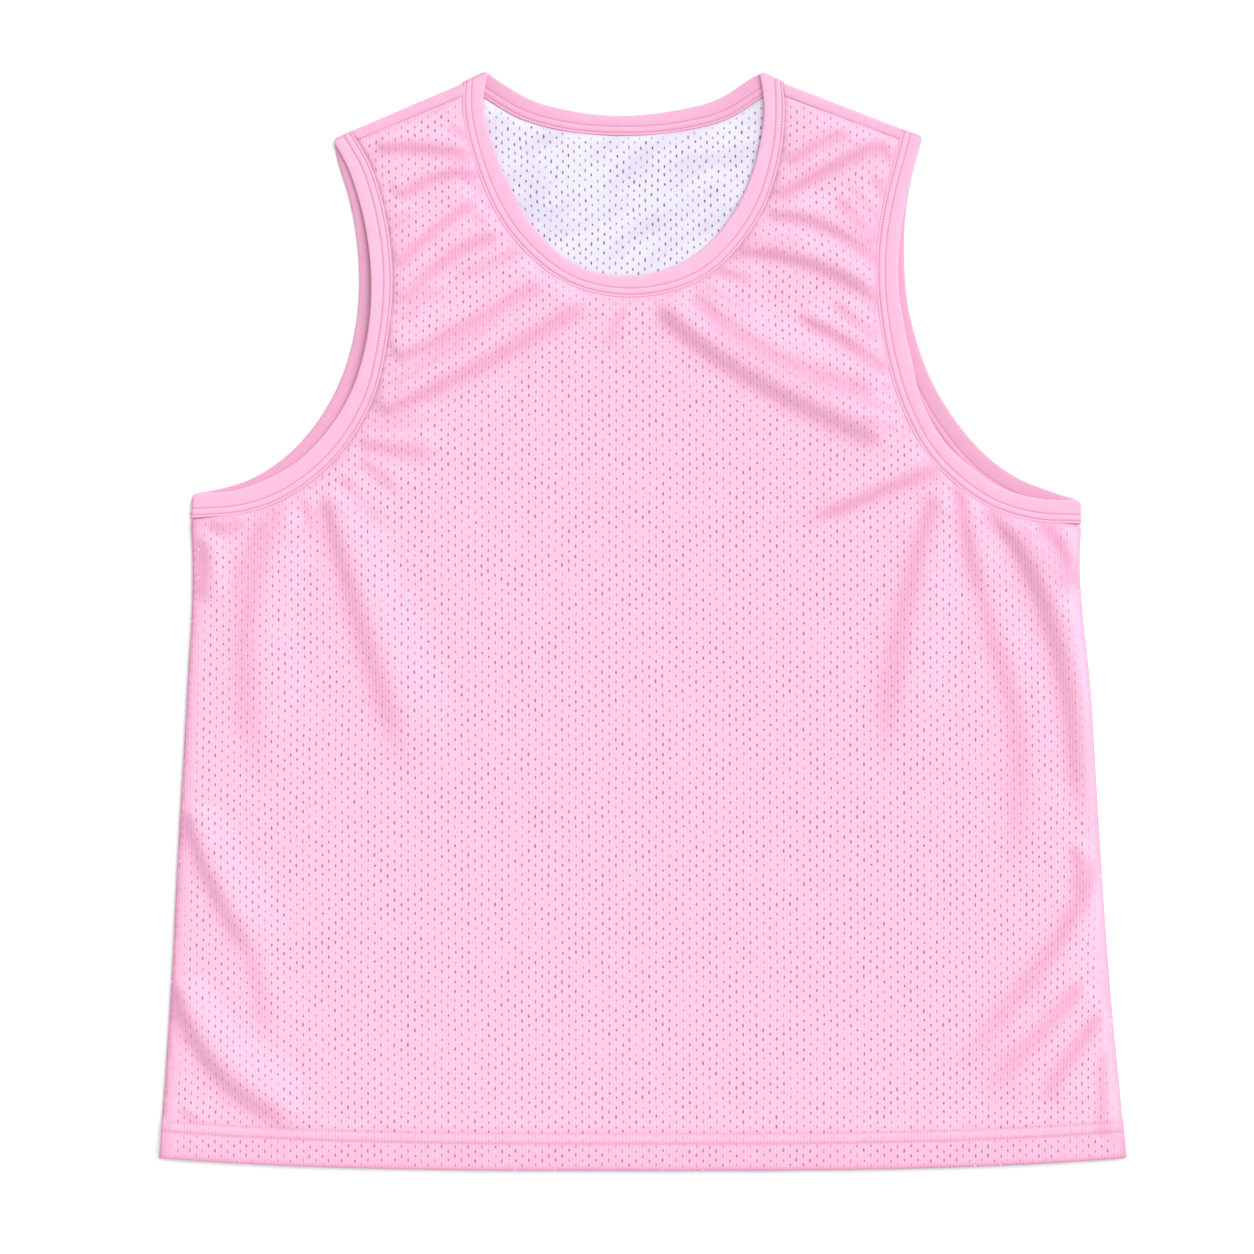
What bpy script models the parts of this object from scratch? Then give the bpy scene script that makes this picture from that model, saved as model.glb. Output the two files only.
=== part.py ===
"""A sleeveless mesh sports jersey that lies flat on its back, with its front upward.

Sizes are in millimetres until a mesh is made, and in metres after that. +X is to the right
of someone who looks down at the front, +Y runs up the garment to the neck, and +Z points
away from the surface that it lies on. The origin lies under the middle of the garment.
"""

import math
from collections import namedtuple

import bpy
import numpy as np
from mathutils.geometry import delaunay_2d_cdt

MM = 0.001

# Walls and the room between them
PANEL_WALL = 1.2
HEM_WALL = 2.0
BAND_WALL = 1.8
SEAM_GAP = 0.3

# Heights above the surface that the garment lies on
BACK_TOP = PANEL_WALL
BACK_BAND_MIDDLE = BAND_WALL / 2
FRONT_BAND_MIDDLE = BAND_WALL + SEAM_GAP + BAND_WALL / 2
FRONT_SEAM_TOP = FRONT_BAND_MIDDLE + PANEL_WALL / 2
FRONT_SIDE_TOP = BACK_TOP + SEAM_GAP + PANEL_WALL
FRONT_LOFT_TOP = HEM_WALL + SEAM_GAP + HEM_WALL + 0.2

# Where a binding folds under: the turn of its middle, and how far the turn reaches out
BAND_TURN_RADIUS = (FRONT_BAND_MIDDLE - BACK_BAND_MIDDLE) / 2
BAND_TURN_REACH = BAND_TURN_RADIUS + BAND_WALL / 2

# How far in from an edge the front takes to rise to its full height
SEAM_RISE = 7.0
SIDE_RISE = 9.0
FOLD_RISE = 3.5

# The hem is turned up inside, and its lower edge bows down between its two corners
HEM_DEPTH = 24.0
HEM_TAPER = 2.5
HEM_BOW = 8.3
HEM_CORNER_X = 314.0
HEM_CORNER_Y = -348.6
BACK_HEM_INSET = 1.0

# Spacing of the points that the meshes are made from
STRAIGHT_PITCH = 16.0
BAND_PITCH = 9.5
FOLD_PITCH = 9.0
FILL_PITCH = 16.5
BACK_PITCH = 60.0
NEAREST = 4.6

# A binding's section: how far its rounded edges reach in, and its turn where it folds under
BAND_ROUND = 0.7
TURN_STEPS = 5
STRIP_STEPS = 8

# Colours are linear red, green and blue
PINK_MESH = (0.93, 0.55, 0.74)
PINK_RIB = (0.92, 0.52, 0.71)
PINK_TAPE = (0.90, 0.49, 0.69)

# A row for each section of a binding: its free edge, and the edge that is sewn to the panel
Section = namedtuple("Section", "free_x free_y sewn_x sewn_y")

NECK_FOLD_LEFT = Section(-101.4, 357.6, -117.2, 350.2)
NECK_FOLD_RIGHT = Section(76.4, 357.2, 91.8, 350.2)
NECKBAND_FRONT = (
    NECK_FOLD_LEFT,
    Section(-103.4, 340.6, -117.4, 336.7),
    Section(-96.2, 304.9, -111.2, 302.9),
    Section(-87.1, 284.1, -101.5, 276.3),
    Section(-72.2, 257.4, -85.2, 249.0),
    Section(-39.7, 229.5, -45.5, 217.1),
    Section(-6.5, 224.3, -6.5, 210.0),
    Section(29.3, 234.7, 37.1, 221.0),
    Section(60.5, 267.8, 74.8, 260.7),
    Section(74.8, 304.9, 89.3, 301.6),
    Section(78.0, 340.6, 92.0, 338.0),
    NECK_FOLD_RIGHT,
)
NECKBAND_BACK = (
    NECK_FOLD_RIGHT,
    Section(66.5, 350.2, 77.0, 339.8),
    Section(57.0, 343.4, 65.4, 331.8),
    Section(47.5, 338.5, 54.6, 325.9),
    Section(23.4, 332.2, 26.7, 318.4),
    Section(-13.7, 328.3, -12.4, 315.3),
    Section(-50.1, 332.2, -54.0, 318.8),
    Section(-72.8, 338.7, -80.0, 326.3),
    Section(-94.9, 351.7, -103.4, 340.0),
    NECK_FOLD_LEFT,
)

LEFT_SHOULDER_FOLD = Section(-201.5, 312.7, -189.2, 318.5)
LEFT_UNDERARM_FOLD = Section(-292.5, 83.2, -293.8, 67.0)
LEFT_ARMBAND_FRONT = (
    LEFT_SHOULDER_FOLD,
    Section(-191.8, 294.5, -177.5, 297.7),
    Section(-184.0, 271.7, -169.7, 275.0),
    Section(-176.8, 230.1, -162.5, 231.4),
    Section(-179.4, 182.0, -165.8, 180.7),
    Section(-189.8, 148.2, -175.5, 142.4),
    Section(-204.1, 124.8, -192.0, 113.8),
    Section(-221.7, 106.0, -211.9, 93.0),
    Section(-242.5, 93.0, -237.3, 76.7),
    Section(-264.6, 84.9, -261.4, 69.2),
    LEFT_UNDERARM_FOLD,
)
LEFT_ARMBAND_BACK = (
    LEFT_UNDERARM_FOLD,
    Section(-277.6, 85.2, -275.6, 69.6),
    Section(-256.1, 91.7, -250.9, 76.7),
    Section(-234.7, 104.7, -224.9, 91.7),
    Section(-210.6, 130.7, -197.0, 122.2),
    Section(-196.3, 156.7, -181.4, 151.5),
    Section(-185.9, 195.7, -170.3, 194.4),
    Section(-184.6, 234.7, -169.0, 236.0),
    Section(-190.5, 273.7, -174.9, 276.3),
    Section(-198.3, 299.7, -182.7, 302.9),
    LEFT_SHOULDER_FOLD,
)

RIGHT_SHOULDER_FOLD = Section(182.0, 314.6, 168.4, 319.8)
RIGHT_UNDERARM_FOLD = Section(284.1, 78.7, 284.7, 63.1)
RIGHT_ARMBAND_FRONT = (
    RIGHT_SHOULDER_FOLD,
    Section(175.5, 294.5, 162.0, 296.4),
    Section(171.0, 273.7, 156.7, 275.6),
    Section(167.1, 248.3, 152.1, 248.3),
    Section(165.8, 219.7, 151.1, 219.7),
    Section(169.0, 195.0, 153.6, 193.7),
    Section(174.2, 171.0, 158.8, 166.4),
    Section(181.4, 141.7, 169.0, 135.3),
    Section(197.6, 114.4, 186.4, 105.0),
    Section(212.6, 100.1, 203.1, 88.2),
    Section(232.1, 86.9, 225.6, 73.3),
    Section(258.1, 79.4, 255.2, 64.4),
    RIGHT_UNDERARM_FOLD,
)
RIGHT_ARMBAND_BACK = (
    RIGHT_UNDERARM_FOLD,
    Section(262.0, 85.2, 258.1, 69.8),
    Section(245.7, 91.7, 238.6, 77.8),
    Section(226.2, 104.7, 215.8, 92.4),
    Section(202.8, 130.7, 189.8, 121.6),
    Section(187.2, 156.7, 172.9, 150.2),
    Section(177.5, 182.7, 162.5, 178.0),
    Section(171.6, 208.7, 156.0, 206.5),
    Section(169.7, 234.7, 154.1, 234.4),
    Section(170.3, 260.7, 154.7, 261.3),
    Section(174.9, 289.9, 159.3, 291.9),
    RIGHT_SHOULDER_FOLD,
)

# A shoulder strip runs from the neckband to the armband. Its fold is the top edge, and its
# two long edges are sewn to the front and to the back.
Strip = namedtuple("Strip", "end fold_x fold_y front_x front_y back_x back_y")
LEFT_STRIP = (
    Strip("neck", -117.6, 349.0, -118.1, 340.2, -109.8, 343.3),
    Strip("arm", -188.9, 318.4, -184.4, 312.4, -186.0, 311.2),
)
RIGHT_STRIP = (
    Strip("neck", 92.3, 349.0, 92.7, 340.0, 84.6, 343.7),
    Strip("arm", 168.0, 319.7, 165.4, 312.6, 165.3, 312.6),
)

# The side seams, from the underarm down to the hem
LEFT_SIDE = (
    (-293.8, 66.6), (-292.6, 40.0), (-296.4, -51.0), (-302.3, -155.0), (-306.2, -233.0),
    (-HEM_CORNER_X, HEM_CORNER_Y),
)
RIGHT_SIDE = (
    (284.7, 62.7), (283.8, 48.0), (291.2, -51.0), (295.8, -129.0), (302.9, -233.0),
    (HEM_CORNER_X, HEM_CORNER_Y),
)

# A row for each large fold of the front. A fold is a ridge with one steep side: the middle of
# that side runs through start, bend and end, and the crest lies to its left (1) or right (-1).
# Head and tail are the shares of its length over which it rises and dies away.
Fold = namedtuple("Fold", "start bend end height steep gentle crest head tail")
FOLDS = (
    Fold((-174, 306), (-148, 307), (-112, 302), 3.4, 8, 12, 1, 0.15, 0.12),
    Fold((-161, 228), (-138, 251), (-107, 274), 3.8, 7, 16, 1, 0.12, 0.15),
    Fold((-159, 203), (-125, 237), (-91, 250), 3.8, 8, 18, 1, 0.15, 0.15),
    Fold((-162, 168), (-116, 191), (-62, 222), 5.2, 9, 22, 1, 0.1, 0.12),
    Fold((-174, 133), (-106, 166), (-32, 210), 6.0, 11, 22, 1, 0.1, 0.15),
    Fold((-209, 86), (-183, -3), (-150, -110), 5.0, 12, 24, 1, 0.1, 0.5),
    Fold((-232, 80), (-258, -12), (-244, -116), 3.2, 12, 24, 1, 0.12, 0.5),
    Fold((-298, -120), (-278, -175), (-244, -232), 4.6, 9, 20, 1, 0.12, 0.5),
    Fold((-307, -232), (-272, -297), (-214, -329), 5.8, 11, 21, 1, 0.12, 0.4),
    Fold((84, 273), (119, 293), (158, 312), 4.6, 8, 14, 1, 0.15, 0.15),
    Fold((79, 262), (116, 257), (155, 230), 3.4, 8, 16, 1, 0.15, 0.15),
    Fold((52, 238), (105, 233), (162, 204), 4.8, 9, 18, 1, 0.12, 0.15),
    Fold((29, 216), (83, 172), (157, 146), 4.2, 11, 20, 1, 0.12, 0.15),
    Fold((6, 207), (66, 160), (161, 114), 6.2, 13, 22, 1, 0.12, 0.15),
    Fold((98, 61), (148, 82), (196, 102), 3.6, 9, 14, 1, 0.5, 0.12),
    Fold((192, 88), (167, -6), (155, -105), 4.2, 12, 24, 1, 0.1, 0.5),
    Fold((206, 94), (211, 49), (224, 6), 3.4, 8, 14, 1, 0.12, 0.5),
    Fold((219, 4), (243, -77), (237, -170), 2.6, 12, 22, 1, 0.35, 0.45),
    Fold((218, 81), (266, -7), (283, -136), 6.2, 13, 18, 1, 0.1, 0.3),
    Fold((294, -150), (265, -214), (196, -297), 5.2, 10, 22, 1, 0.12, 0.5),
    Fold((288, -232), (252, -274), (216, -313), 3.6, 9, 16, 1, 0.15, 0.5),
    Fold((300, -252), (278, -282), (256, -316), 3.4, 8, 14, 1, 0.2, 0.4),
)
FOLD_NORM = 3.0

# Where the front stands up a little, with its binding, along the left armhole
STAND_MIDDLE = (-178.0, 205.0)
STAND_HALF_SIZE = (46.0, 96.0)
STAND_HEIGHT = 3.0


def smooth(rows, pitch):
    """Points at an even pitch along a smooth line through the rows."""
    rows = np.array(rows, float)
    steps = np.linalg.norm(np.diff(rows, axis=0), axis=1) / math.sqrt(rows.shape[1] / 2)
    knots = np.concatenate(([0.0], np.cumsum(steps)))
    slopes = np.gradient(rows, knots, axis=0)
    count = max(2, round(knots[-1] / pitch) + 1)
    along = np.linspace(0.0, knots[-1], count)
    part = np.clip(np.searchsorted(knots, along, side="right") - 1, 0, len(steps) - 1)
    length = steps[part][:, None]
    t = (along - knots[part])[:, None] / length
    start, end = rows[part], rows[part + 1]
    leave, reach = slopes[part] * length, slopes[part + 1] * length
    return (
        (2 * t**3 - 3 * t**2 + 1) * start
        + (t**3 - 2 * t**2 + t) * leave
        + (3 * t**2 - 2 * t**3) * end
        + (t**3 - t**2) * reach
    )


def ease(value):
    """Zero below 0, one above 1, and a smooth step between them."""
    value = np.clip(value, 0.0, 1.0)
    return value * value * (3.0 - 2.0 * value)


def nearest(points, line):
    """For each point: its distance to the line, on which side it lies, and how far along."""
    start, step = line[:-1], np.diff(line, axis=0)
    length = np.linalg.norm(step, axis=1)
    away = points[:, None, :] - start[None, :, :]
    t = np.clip((away * step).sum(2) / length**2, 0.0, 1.0)
    gap = away - t[:, :, None] * step
    far = np.linalg.norm(gap, axis=2)
    best = far.argmin(axis=1)
    row = np.arange(len(points))
    side = np.sign(step[best, 0] * away[row, best, 1] - step[best, 1] * away[row, best, 0])
    before = np.concatenate(([0.0], np.cumsum(length)))
    along = (before[best] + t[row, best] * length[best]) / before[-1]
    return far[row, best], side, along


def inside(points, outline):
    """Which of the points lie inside the closed outline."""
    x, y = points[:, 0][:, None], points[:, 1][:, None]
    x0, y0 = outline[:, 0], outline[:, 1]
    x1, y1 = np.roll(x0, -1), np.roll(y0, -1)
    spans = (y0 > y) != (y1 > y)
    rise = np.where(y1 == y0, 1.0, y1 - y0)
    return (spans & (x < (x1 - x0) * (y - y0) / rise + x0)).sum(axis=1) % 2 == 1


def inset(outline, distance):
    """The closed outline, which runs anticlockwise, moved inward."""
    ahead = np.roll(outline, -1, axis=0) - outline
    ahead /= np.linalg.norm(ahead, axis=1)[:, None]
    behind = np.roll(ahead, 1, axis=0)
    normal = np.stack((-ahead[:, 1] - behind[:, 1], ahead[:, 0] + behind[:, 0]), axis=1)
    length = np.linalg.norm(normal, axis=1)[:, None]
    normal /= length
    reach = np.clip(2.0 / length, 1.0, 1.6)
    return outline + normal * distance * reach


def fold_line(fold):
    """Points along the middle of a fold's steep side, on a curve through its three places."""
    start, bend, end = (np.array(place, float) for place in (fold.start, fold.bend, fold.end))
    t = np.linspace(0.0, 1.0, 25)[:, None]
    return (1 - t) * (1 - 2 * t) * start + 4 * t * (1 - t) * bend + t * (2 * t - 1) * end


def fold_rise(points, fold):
    """How far one fold lifts the cloth at each point."""
    far, side, along = nearest(points, fold_line(fold))
    across = far * side * fold.crest
    steep = ease((across + fold.steep / 2) / fold.steep)
    gentle = ease(1.0 - (across - fold.steep / 2) / fold.gentle)
    fade = ease(along / fold.head) * ease((1.0 - along) / fold.tail)
    return fold.height * steep * gentle * fade


def stand(points):
    """How far the front and its binding stand up along the left armhole."""
    share = np.abs(points - STAND_MIDDLE) / STAND_HALF_SIZE
    return STAND_HEIGHT * ease(1.0 - share).prod(axis=1)


def hem_edge(x):
    """The height on the page of the hem's lower edge."""
    return HEM_CORNER_Y - HEM_BOW * (1.0 - np.abs(np.clip(x / HEM_CORNER_X, -1, 1)) ** 3)


def hem_share(points):
    """One within the hem, zero above it, and a short taper between them."""
    above = points[:, 1] - hem_edge(points[:, 0]) - HEM_DEPTH
    return 1.0 - ease(above / HEM_TAPER)


def front_top(points, seams, sides):
    """The height of the front's outer face over each point."""
    from_seam = np.min([nearest(points, line)[0] for line in seams], axis=0)
    from_side = np.min([nearest(points, line)[0] for line in sides], axis=0)
    top = FRONT_LOFT_TOP - (FRONT_LOFT_TOP - FRONT_SEAM_TOP) * np.exp(-from_seam / SEAM_RISE)
    top -= (FRONT_LOFT_TOP - FRONT_SIDE_TOP) * np.exp(-from_side / SIDE_RISE)
    top = np.maximum(top, FRONT_SIDE_TOP)
    top += (np.maximum(top, FRONT_LOFT_TOP) - top) * hem_share(points)
    rises = np.array([fold_rise(points, fold) for fold in FOLDS])
    folds = (rises**FOLD_NORM).sum(axis=0) ** (1.0 / FOLD_NORM)
    free = 1.0 - np.exp(-np.minimum(from_seam, from_side) / FOLD_RISE)
    return top + folds * free + stand(points)


def wall_under(points, height):
    """The wall's upright thickness, which is more where the cloth slopes."""
    step = 0.5
    east = np.array((step, 0.0))
    north = np.array((0.0, step))
    along_x = (height(points + east) - height(points - east)) / (2 * step)
    along_y = (height(points + north) - height(points - north)) / (2 * step)
    wall = PANEL_WALL + (HEM_WALL - PANEL_WALL) * hem_share(points)
    return wall * np.sqrt(1.0 + along_x**2 + along_y**2)


def fold_way(fold, neighbour):
    """The level direction from a binding's middle out over its fold."""
    line = np.array((fold.sewn_x - fold.free_x, fold.sewn_y - fold.free_y))
    out = np.array((line[1], -line[0])) / np.linalg.norm(line)
    away = np.array((fold.free_x - neighbour.free_x, fold.free_y - neighbour.free_y))
    return out if out @ away > 0 else -out


def flat_run(rows):
    """Sections at an even pitch along the flat run of a binding, from fold to fold."""
    rows = np.array(rows) - BAND_TURN_REACH * np.array((
        np.tile(fold_way(rows[0], rows[1]), 2),
        *np.zeros((len(rows) - 2, 4)),
        np.tile(fold_way(rows[-1], rows[-2]), 2),
    ))
    return smooth(rows, BAND_PITCH)


def sewn_edge(rows):
    """The edge of a binding that is sewn to a panel."""
    return flat_run(rows)[:, 2:]


def below(line, seam):
    """The points of a binding's edge that lie below the end of a shoulder seam."""
    return line[line[:, 1] < seam - BAND_PITCH / 3]


def lower_edge(hem_inset):
    """The hem's lower edge, from the left corner to the right."""
    x = np.linspace(-HEM_CORNER_X, HEM_CORNER_X, round(2 * HEM_CORNER_X / STRAIGHT_PITCH))
    return np.stack((x, hem_edge(x) + hem_inset), axis=1)


def outline_of(neck, left_arm, right_arm, left_seam, right_seam, hem_inset):
    """A panel's outline, anticlockwise: down the left side, along the hem, and up the right."""
    left_side = smooth(LEFT_SIDE, STRAIGHT_PITCH)[1:-1]
    right_side = smooth(RIGHT_SIDE, STRAIGHT_PITCH)[1:-1][::-1]
    return np.concatenate((
        (left_seam[0],),
        (left_seam[1],),
        below(left_arm, left_seam[1][1]),
        left_side,
        lower_edge(hem_inset),
        right_side,
        below(right_arm, right_seam[1][1])[::-1],
        (right_seam[1],),
        (right_seam[0],),
        below(neck, min(right_seam[0][1], left_seam[0][1])),
    ))


def hem_line(x_from, x_to):
    """Two rows of points where the turned-up hem ends inside the panel."""
    x = np.arange(x_from, x_to, STRAIGHT_PITCH)
    edge = hem_edge(x) + HEM_DEPTH
    return np.concatenate((np.stack((x, edge), 1), np.stack((x, edge + HEM_TAPER), 1)))


def fold_points():
    """Points on the crest, the foot and the gentle side of each fold, the tallest first."""
    made = []
    for fold in sorted(FOLDS, key=lambda row: -row.height):
        line = smooth(fold_line(fold), FOLD_PITCH)
        ahead = np.gradient(line, axis=0)
        ahead /= np.linalg.norm(ahead, axis=1)[:, None]
        crest_way = np.stack((-ahead[:, 1], ahead[:, 0]), axis=1) * fold.crest
        for across in (fold.steep / 2, -fold.steep / 2, fold.steep / 2 + fold.gentle * 0.55):
            made.append(line + crest_way * across)
    return np.concatenate(made)


def lattice(outline, pitch):
    """An even triangular lattice of points over the outline's box."""
    low, high = outline.min(axis=0), outline.max(axis=0)
    rows = np.arange(low[1] + pitch / 2, high[1], pitch * math.sqrt(0.75))
    made = []
    for number, y in enumerate(rows):
        x = np.arange(low[0] + pitch / 2 * (number % 2), high[0], pitch)
        made.append(np.stack((x, np.full_like(x, y)), axis=1))
    return np.concatenate(made)


def thin_out(outline, groups):
    """The points of each group (points, least gap) that lie inside, clear of the ones before."""
    closed = np.concatenate((outline, outline[:1]))
    kept = list(outline)
    for points, gap in groups:
        points = points[inside(points, outline)]
        points = points[nearest(points, closed)[0] > gap * 0.75]
        for point in points:
            if np.linalg.norm(np.array(kept) - point, axis=1).min() > gap:
                kept.append(point)
    return np.array(kept)


def material(name, colour, roughness):
    """A plain finish with the colour of the cloth."""
    made = bpy.data.materials.new(name)
    made.use_nodes = True
    shader = made.node_tree.nodes["Principled BSDF"]
    shader.inputs["Base Color"].default_value = (*colour, 1.0)
    shader.inputs["Roughness"].default_value = roughness
    shader.inputs["Metallic"].default_value = 0.0
    made.diffuse_color = (*colour, 1.0)
    return made


def add_object(name, corners, faces, finish):
    """An object with its own mesh, from corners in millimetres."""
    mesh = bpy.data.meshes.new(name)
    mesh.from_pydata((np.array(corners) * MM).tolist(), [], faces)
    mesh.materials.append(finish)
    mesh.shade_smooth()
    mesh.set_sharp_from_angle(angle=math.radians(50))
    made = bpy.data.objects.new(name, mesh)
    bpy.context.scene.collection.objects.link(made)
    return made


def sheet(name, outline, points, top, under, finish):
    """A cloth panel: an upper and a lower face over the same points, joined round the edge."""
    count = len(outline)
    places, _, faces, *_ = delaunay_2d_cdt(points.tolist(), [], [list(range(count))], 1, 1e-4)
    plan = np.array([(place.x, place.y) for place in places])
    total = len(plan)
    corners = np.concatenate((
        np.column_stack((plan, top(plan))),
        np.column_stack((plan, under(plan))),
    ))
    upper = [tuple(face) for face in faces]
    lower = [tuple(corner + total for corner in reversed(face)) for face in faces]
    rim = []
    for corner in range(count):
        following = (corner + 1) % count
        rim.append((corner, corner + total, following + total, following))
    return add_object(name, corners, upper + lower + rim, finish)


def front_panel(finish):
    """The front, which lies over the back in folds and falls to the side seams."""
    neck = sewn_edge(NECKBAND_FRONT)[::-1]
    left_arm = sewn_edge(LEFT_ARMBAND_FRONT)
    right_arm = sewn_edge(RIGHT_ARMBAND_FRONT)
    left_seam = [(end.front_x, end.front_y) for end in LEFT_STRIP]
    right_seam = [(end.front_x, end.front_y) for end in RIGHT_STRIP]
    outline = inset(
        outline_of(neck, left_arm, right_arm, left_seam, right_seam, 0.0), SEAM_GAP
    )
    points = thin_out(outline, (
        (hem_line(-HEM_CORNER_X, HEM_CORNER_X), 2.0),
        (fold_points(), NEAREST),
        (lattice(outline, FILL_PITCH), FILL_PITCH * 0.55),
    ))
    seams = (neck, left_arm, right_arm, np.array(left_seam), np.array(right_seam))
    sides = (smooth(LEFT_SIDE, STRAIGHT_PITCH), smooth(RIGHT_SIDE, STRAIGHT_PITCH))

    def top(plan):
        return front_top(plan, seams, sides)

    def under(plan):
        floor = BACK_TOP + (HEM_WALL - PANEL_WALL) * hem_share(plan) + SEAM_GAP
        return np.maximum(top(plan) - wall_under(plan, top), floor)

    return sheet("front_panel", outline, points, top, under, finish)


def back_panel(finish):
    """The back, which lies flat on the surface and is thicker along its hem."""
    neck = sewn_edge(NECKBAND_BACK)
    left_arm = sewn_edge(LEFT_ARMBAND_BACK)[::-1]
    right_arm = sewn_edge(RIGHT_ARMBAND_BACK)[::-1]
    left_seam = [(end.back_x, end.back_y) for end in LEFT_STRIP]
    right_seam = [(end.back_x, end.back_y) for end in RIGHT_STRIP]
    outline = outline_of(neck, left_arm, right_arm, left_seam, right_seam, BACK_HEM_INSET)
    outline = inset(outline, SEAM_GAP)
    points = thin_out(outline, (
        (hem_line(-HEM_CORNER_X, HEM_CORNER_X), 2.0),
        (lattice(outline, BACK_PITCH), BACK_PITCH * 0.5),
    ))

    def top(plan):
        return BACK_TOP + (HEM_WALL - PANEL_WALL) * hem_share(plan)

    def under(plan):
        return np.zeros(len(plan))

    return sheet("back_panel", outline, points, top, under, finish)


def tube(name, rings, closed, finish):
    """A solid through rings of corners, each ring with the same number of them."""
    size = len(rings[0])
    faces = []
    for number in range(len(rings) if closed else len(rings) - 1):
        here, there = number * size, (number + 1) % len(rings) * size
        for corner in range(size):
            other = (corner + 1) % size
            faces.append((here + corner, here + other, there + other, there + corner))
    if not closed:
        faces.append(tuple(reversed(range(size))))
        faces.append(tuple(range((len(rings) - 1) * size, len(rings) * size)))
    return add_object(name, np.concatenate(rings), faces, finish)


def band_ring(free, sewn, middle, normal):
    """One section of a binding, a flat bar with rounded edges."""
    free, sewn = np.append(free, middle), np.append(sewn, middle)
    across = sewn - free
    width = np.linalg.norm(across)
    across /= width
    half = BAND_WALL / 2
    outer = [(0.0, half - BAND_ROUND), (BAND_ROUND, half), (width - BAND_ROUND, half),
             (width, half - BAND_ROUND)]
    profile = outer + [(along, -up) for along, up in reversed(outer)]
    return np.array([free + across * along + normal * up for along, up in profile])


def sewn_on_left(rows):
    """Whether a binding has its sewn edge on the left as its sections run on."""
    one, two = rows[0], rows[1]
    run_x, run_y = two.free_x - one.free_x, two.free_y - one.free_y
    return run_x * (two.sewn_y - two.free_y) - run_y * (two.sewn_x - two.free_x) > 0


def binding(name, front, back, finish):
    """A binding that runs along the front, folds under, and returns along the back."""
    axis = (FRONT_BAND_MIDDLE + BACK_BAND_MIDDLE) / 2
    rings = []
    for rows, way in ((front, 1.0), (back, -1.0)):
        run = flat_run(rows)
        middle = axis + way * BAND_TURN_RADIUS
        for section in run:
            ring = band_ring(section[:2], section[2:], middle, np.array((0.0, 0.0, way)))
            if rows is front:
                ring[:, 2] += stand(ring[:, :2])
            rings.append(ring)
        out = fold_way(rows[-1], rows[-2])
        free, sewn = run[-1][:2], run[-1][2:]
        for step in range(1, TURN_STEPS + 1):
            angle = math.pi * step / (TURN_STEPS + 1)
            shift = BAND_TURN_RADIUS * math.sin(angle) * out
            normal = np.append(out * math.sin(angle), way * math.cos(angle))
            height = axis + way * BAND_TURN_RADIUS * math.cos(angle)
            rings.append(band_ring(free + shift, sewn + shift, height, normal))
    if sewn_on_left(front):
        rings.reverse()
    return tube(name, rings, True, finish)


def strip_ring(fold, front, back, inward):
    """One section of a shoulder strip: a leg on the front, a turn, and a leg on the back."""
    half = PANEL_WALL / 2
    front_middle = FRONT_SEAM_TOP - half
    radius = (front_middle - half) / 2
    axis = fold + inward * (radius + half)
    front_side, back_side = [], []
    for size, side in ((radius + half, front_side), (radius - half, back_side)):
        side.append(np.append(front, half + radius + size))
        for step in range(TURN_STEPS + 2):
            angle = math.pi * step / (TURN_STEPS + 1)
            level = axis - inward * size * math.sin(angle)
            side.append(np.append(level, half + radius + size * math.cos(angle)))
        side.append(np.append(back, half + radius - size))
    return np.array(front_side + back_side[::-1])


def shoulder_strip(name, ends, finish):
    """The smooth tape that covers a shoulder seam and folds over the shoulder's top edge."""
    neck, arm = ends
    folds = np.array(((neck.fold_x, neck.fold_y), (arm.fold_x, arm.fold_y)))
    fronts = np.array(((neck.front_x, neck.front_y), (arm.front_x, arm.front_y)))
    backs = np.array(((neck.back_x, neck.back_y), (arm.back_x, arm.back_y)))
    run = folds[1] - folds[0]
    inward = np.array((run[1], -run[0])) / np.linalg.norm(run)
    if inward[1] > 0:
        inward = -inward
    rings = []
    for step in range(STRIP_STEPS + 1):
        share = step / STRIP_STEPS
        fold = folds[0] + run * share
        front = fronts[0] + (fronts[1] - fronts[0]) * share
        back = backs[0] + (backs[1] - backs[0]) * share
        rings.append(strip_ring(fold, front, back, inward))
    if run[0] > 0:
        rings.reverse()
    return tube(name, rings, False, finish)


def build():
    """Makes every piece of the jersey."""
    for old in list(bpy.data.objects):
        bpy.data.objects.remove(old, do_unlink=True)
    mesh_knit = material("mesh_knit", PINK_MESH, 0.85)
    rib_knit = material("rib_knit", PINK_RIB, 0.8)
    tape = material("shoulder_tape", PINK_TAPE, 0.75)
    back_panel(mesh_knit)
    front_panel(mesh_knit)
    binding("neckband", NECKBAND_FRONT, NECKBAND_BACK, rib_knit)
    binding("armband_left", LEFT_ARMBAND_FRONT, LEFT_ARMBAND_BACK, rib_knit)
    binding("armband_right", RIGHT_ARMBAND_FRONT, RIGHT_ARMBAND_BACK, rib_knit)
    shoulder_strip("shoulder_strip_left", LEFT_STRIP, tape)
    shoulder_strip("shoulder_strip_right", RIGHT_STRIP, tape)


build()
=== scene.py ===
"""Dresses a sleeveless mesh sports jersey that lies flat on its back, with its front upward.

Sizes are in millimetres until a mesh is made, and in metres after that. +X is to the right
of someone who looks down at the front, +Y runs up the garment to the neck, and +Z points
away from the floor that it lies on.
"""

import logging
import math
from dataclasses import dataclass, field
from enum import Enum
from typing import Callable, NamedTuple

import bpy
import numpy as np
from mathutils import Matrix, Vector, noise
from mathutils.geometry import delaunay_2d_cdt


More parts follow.
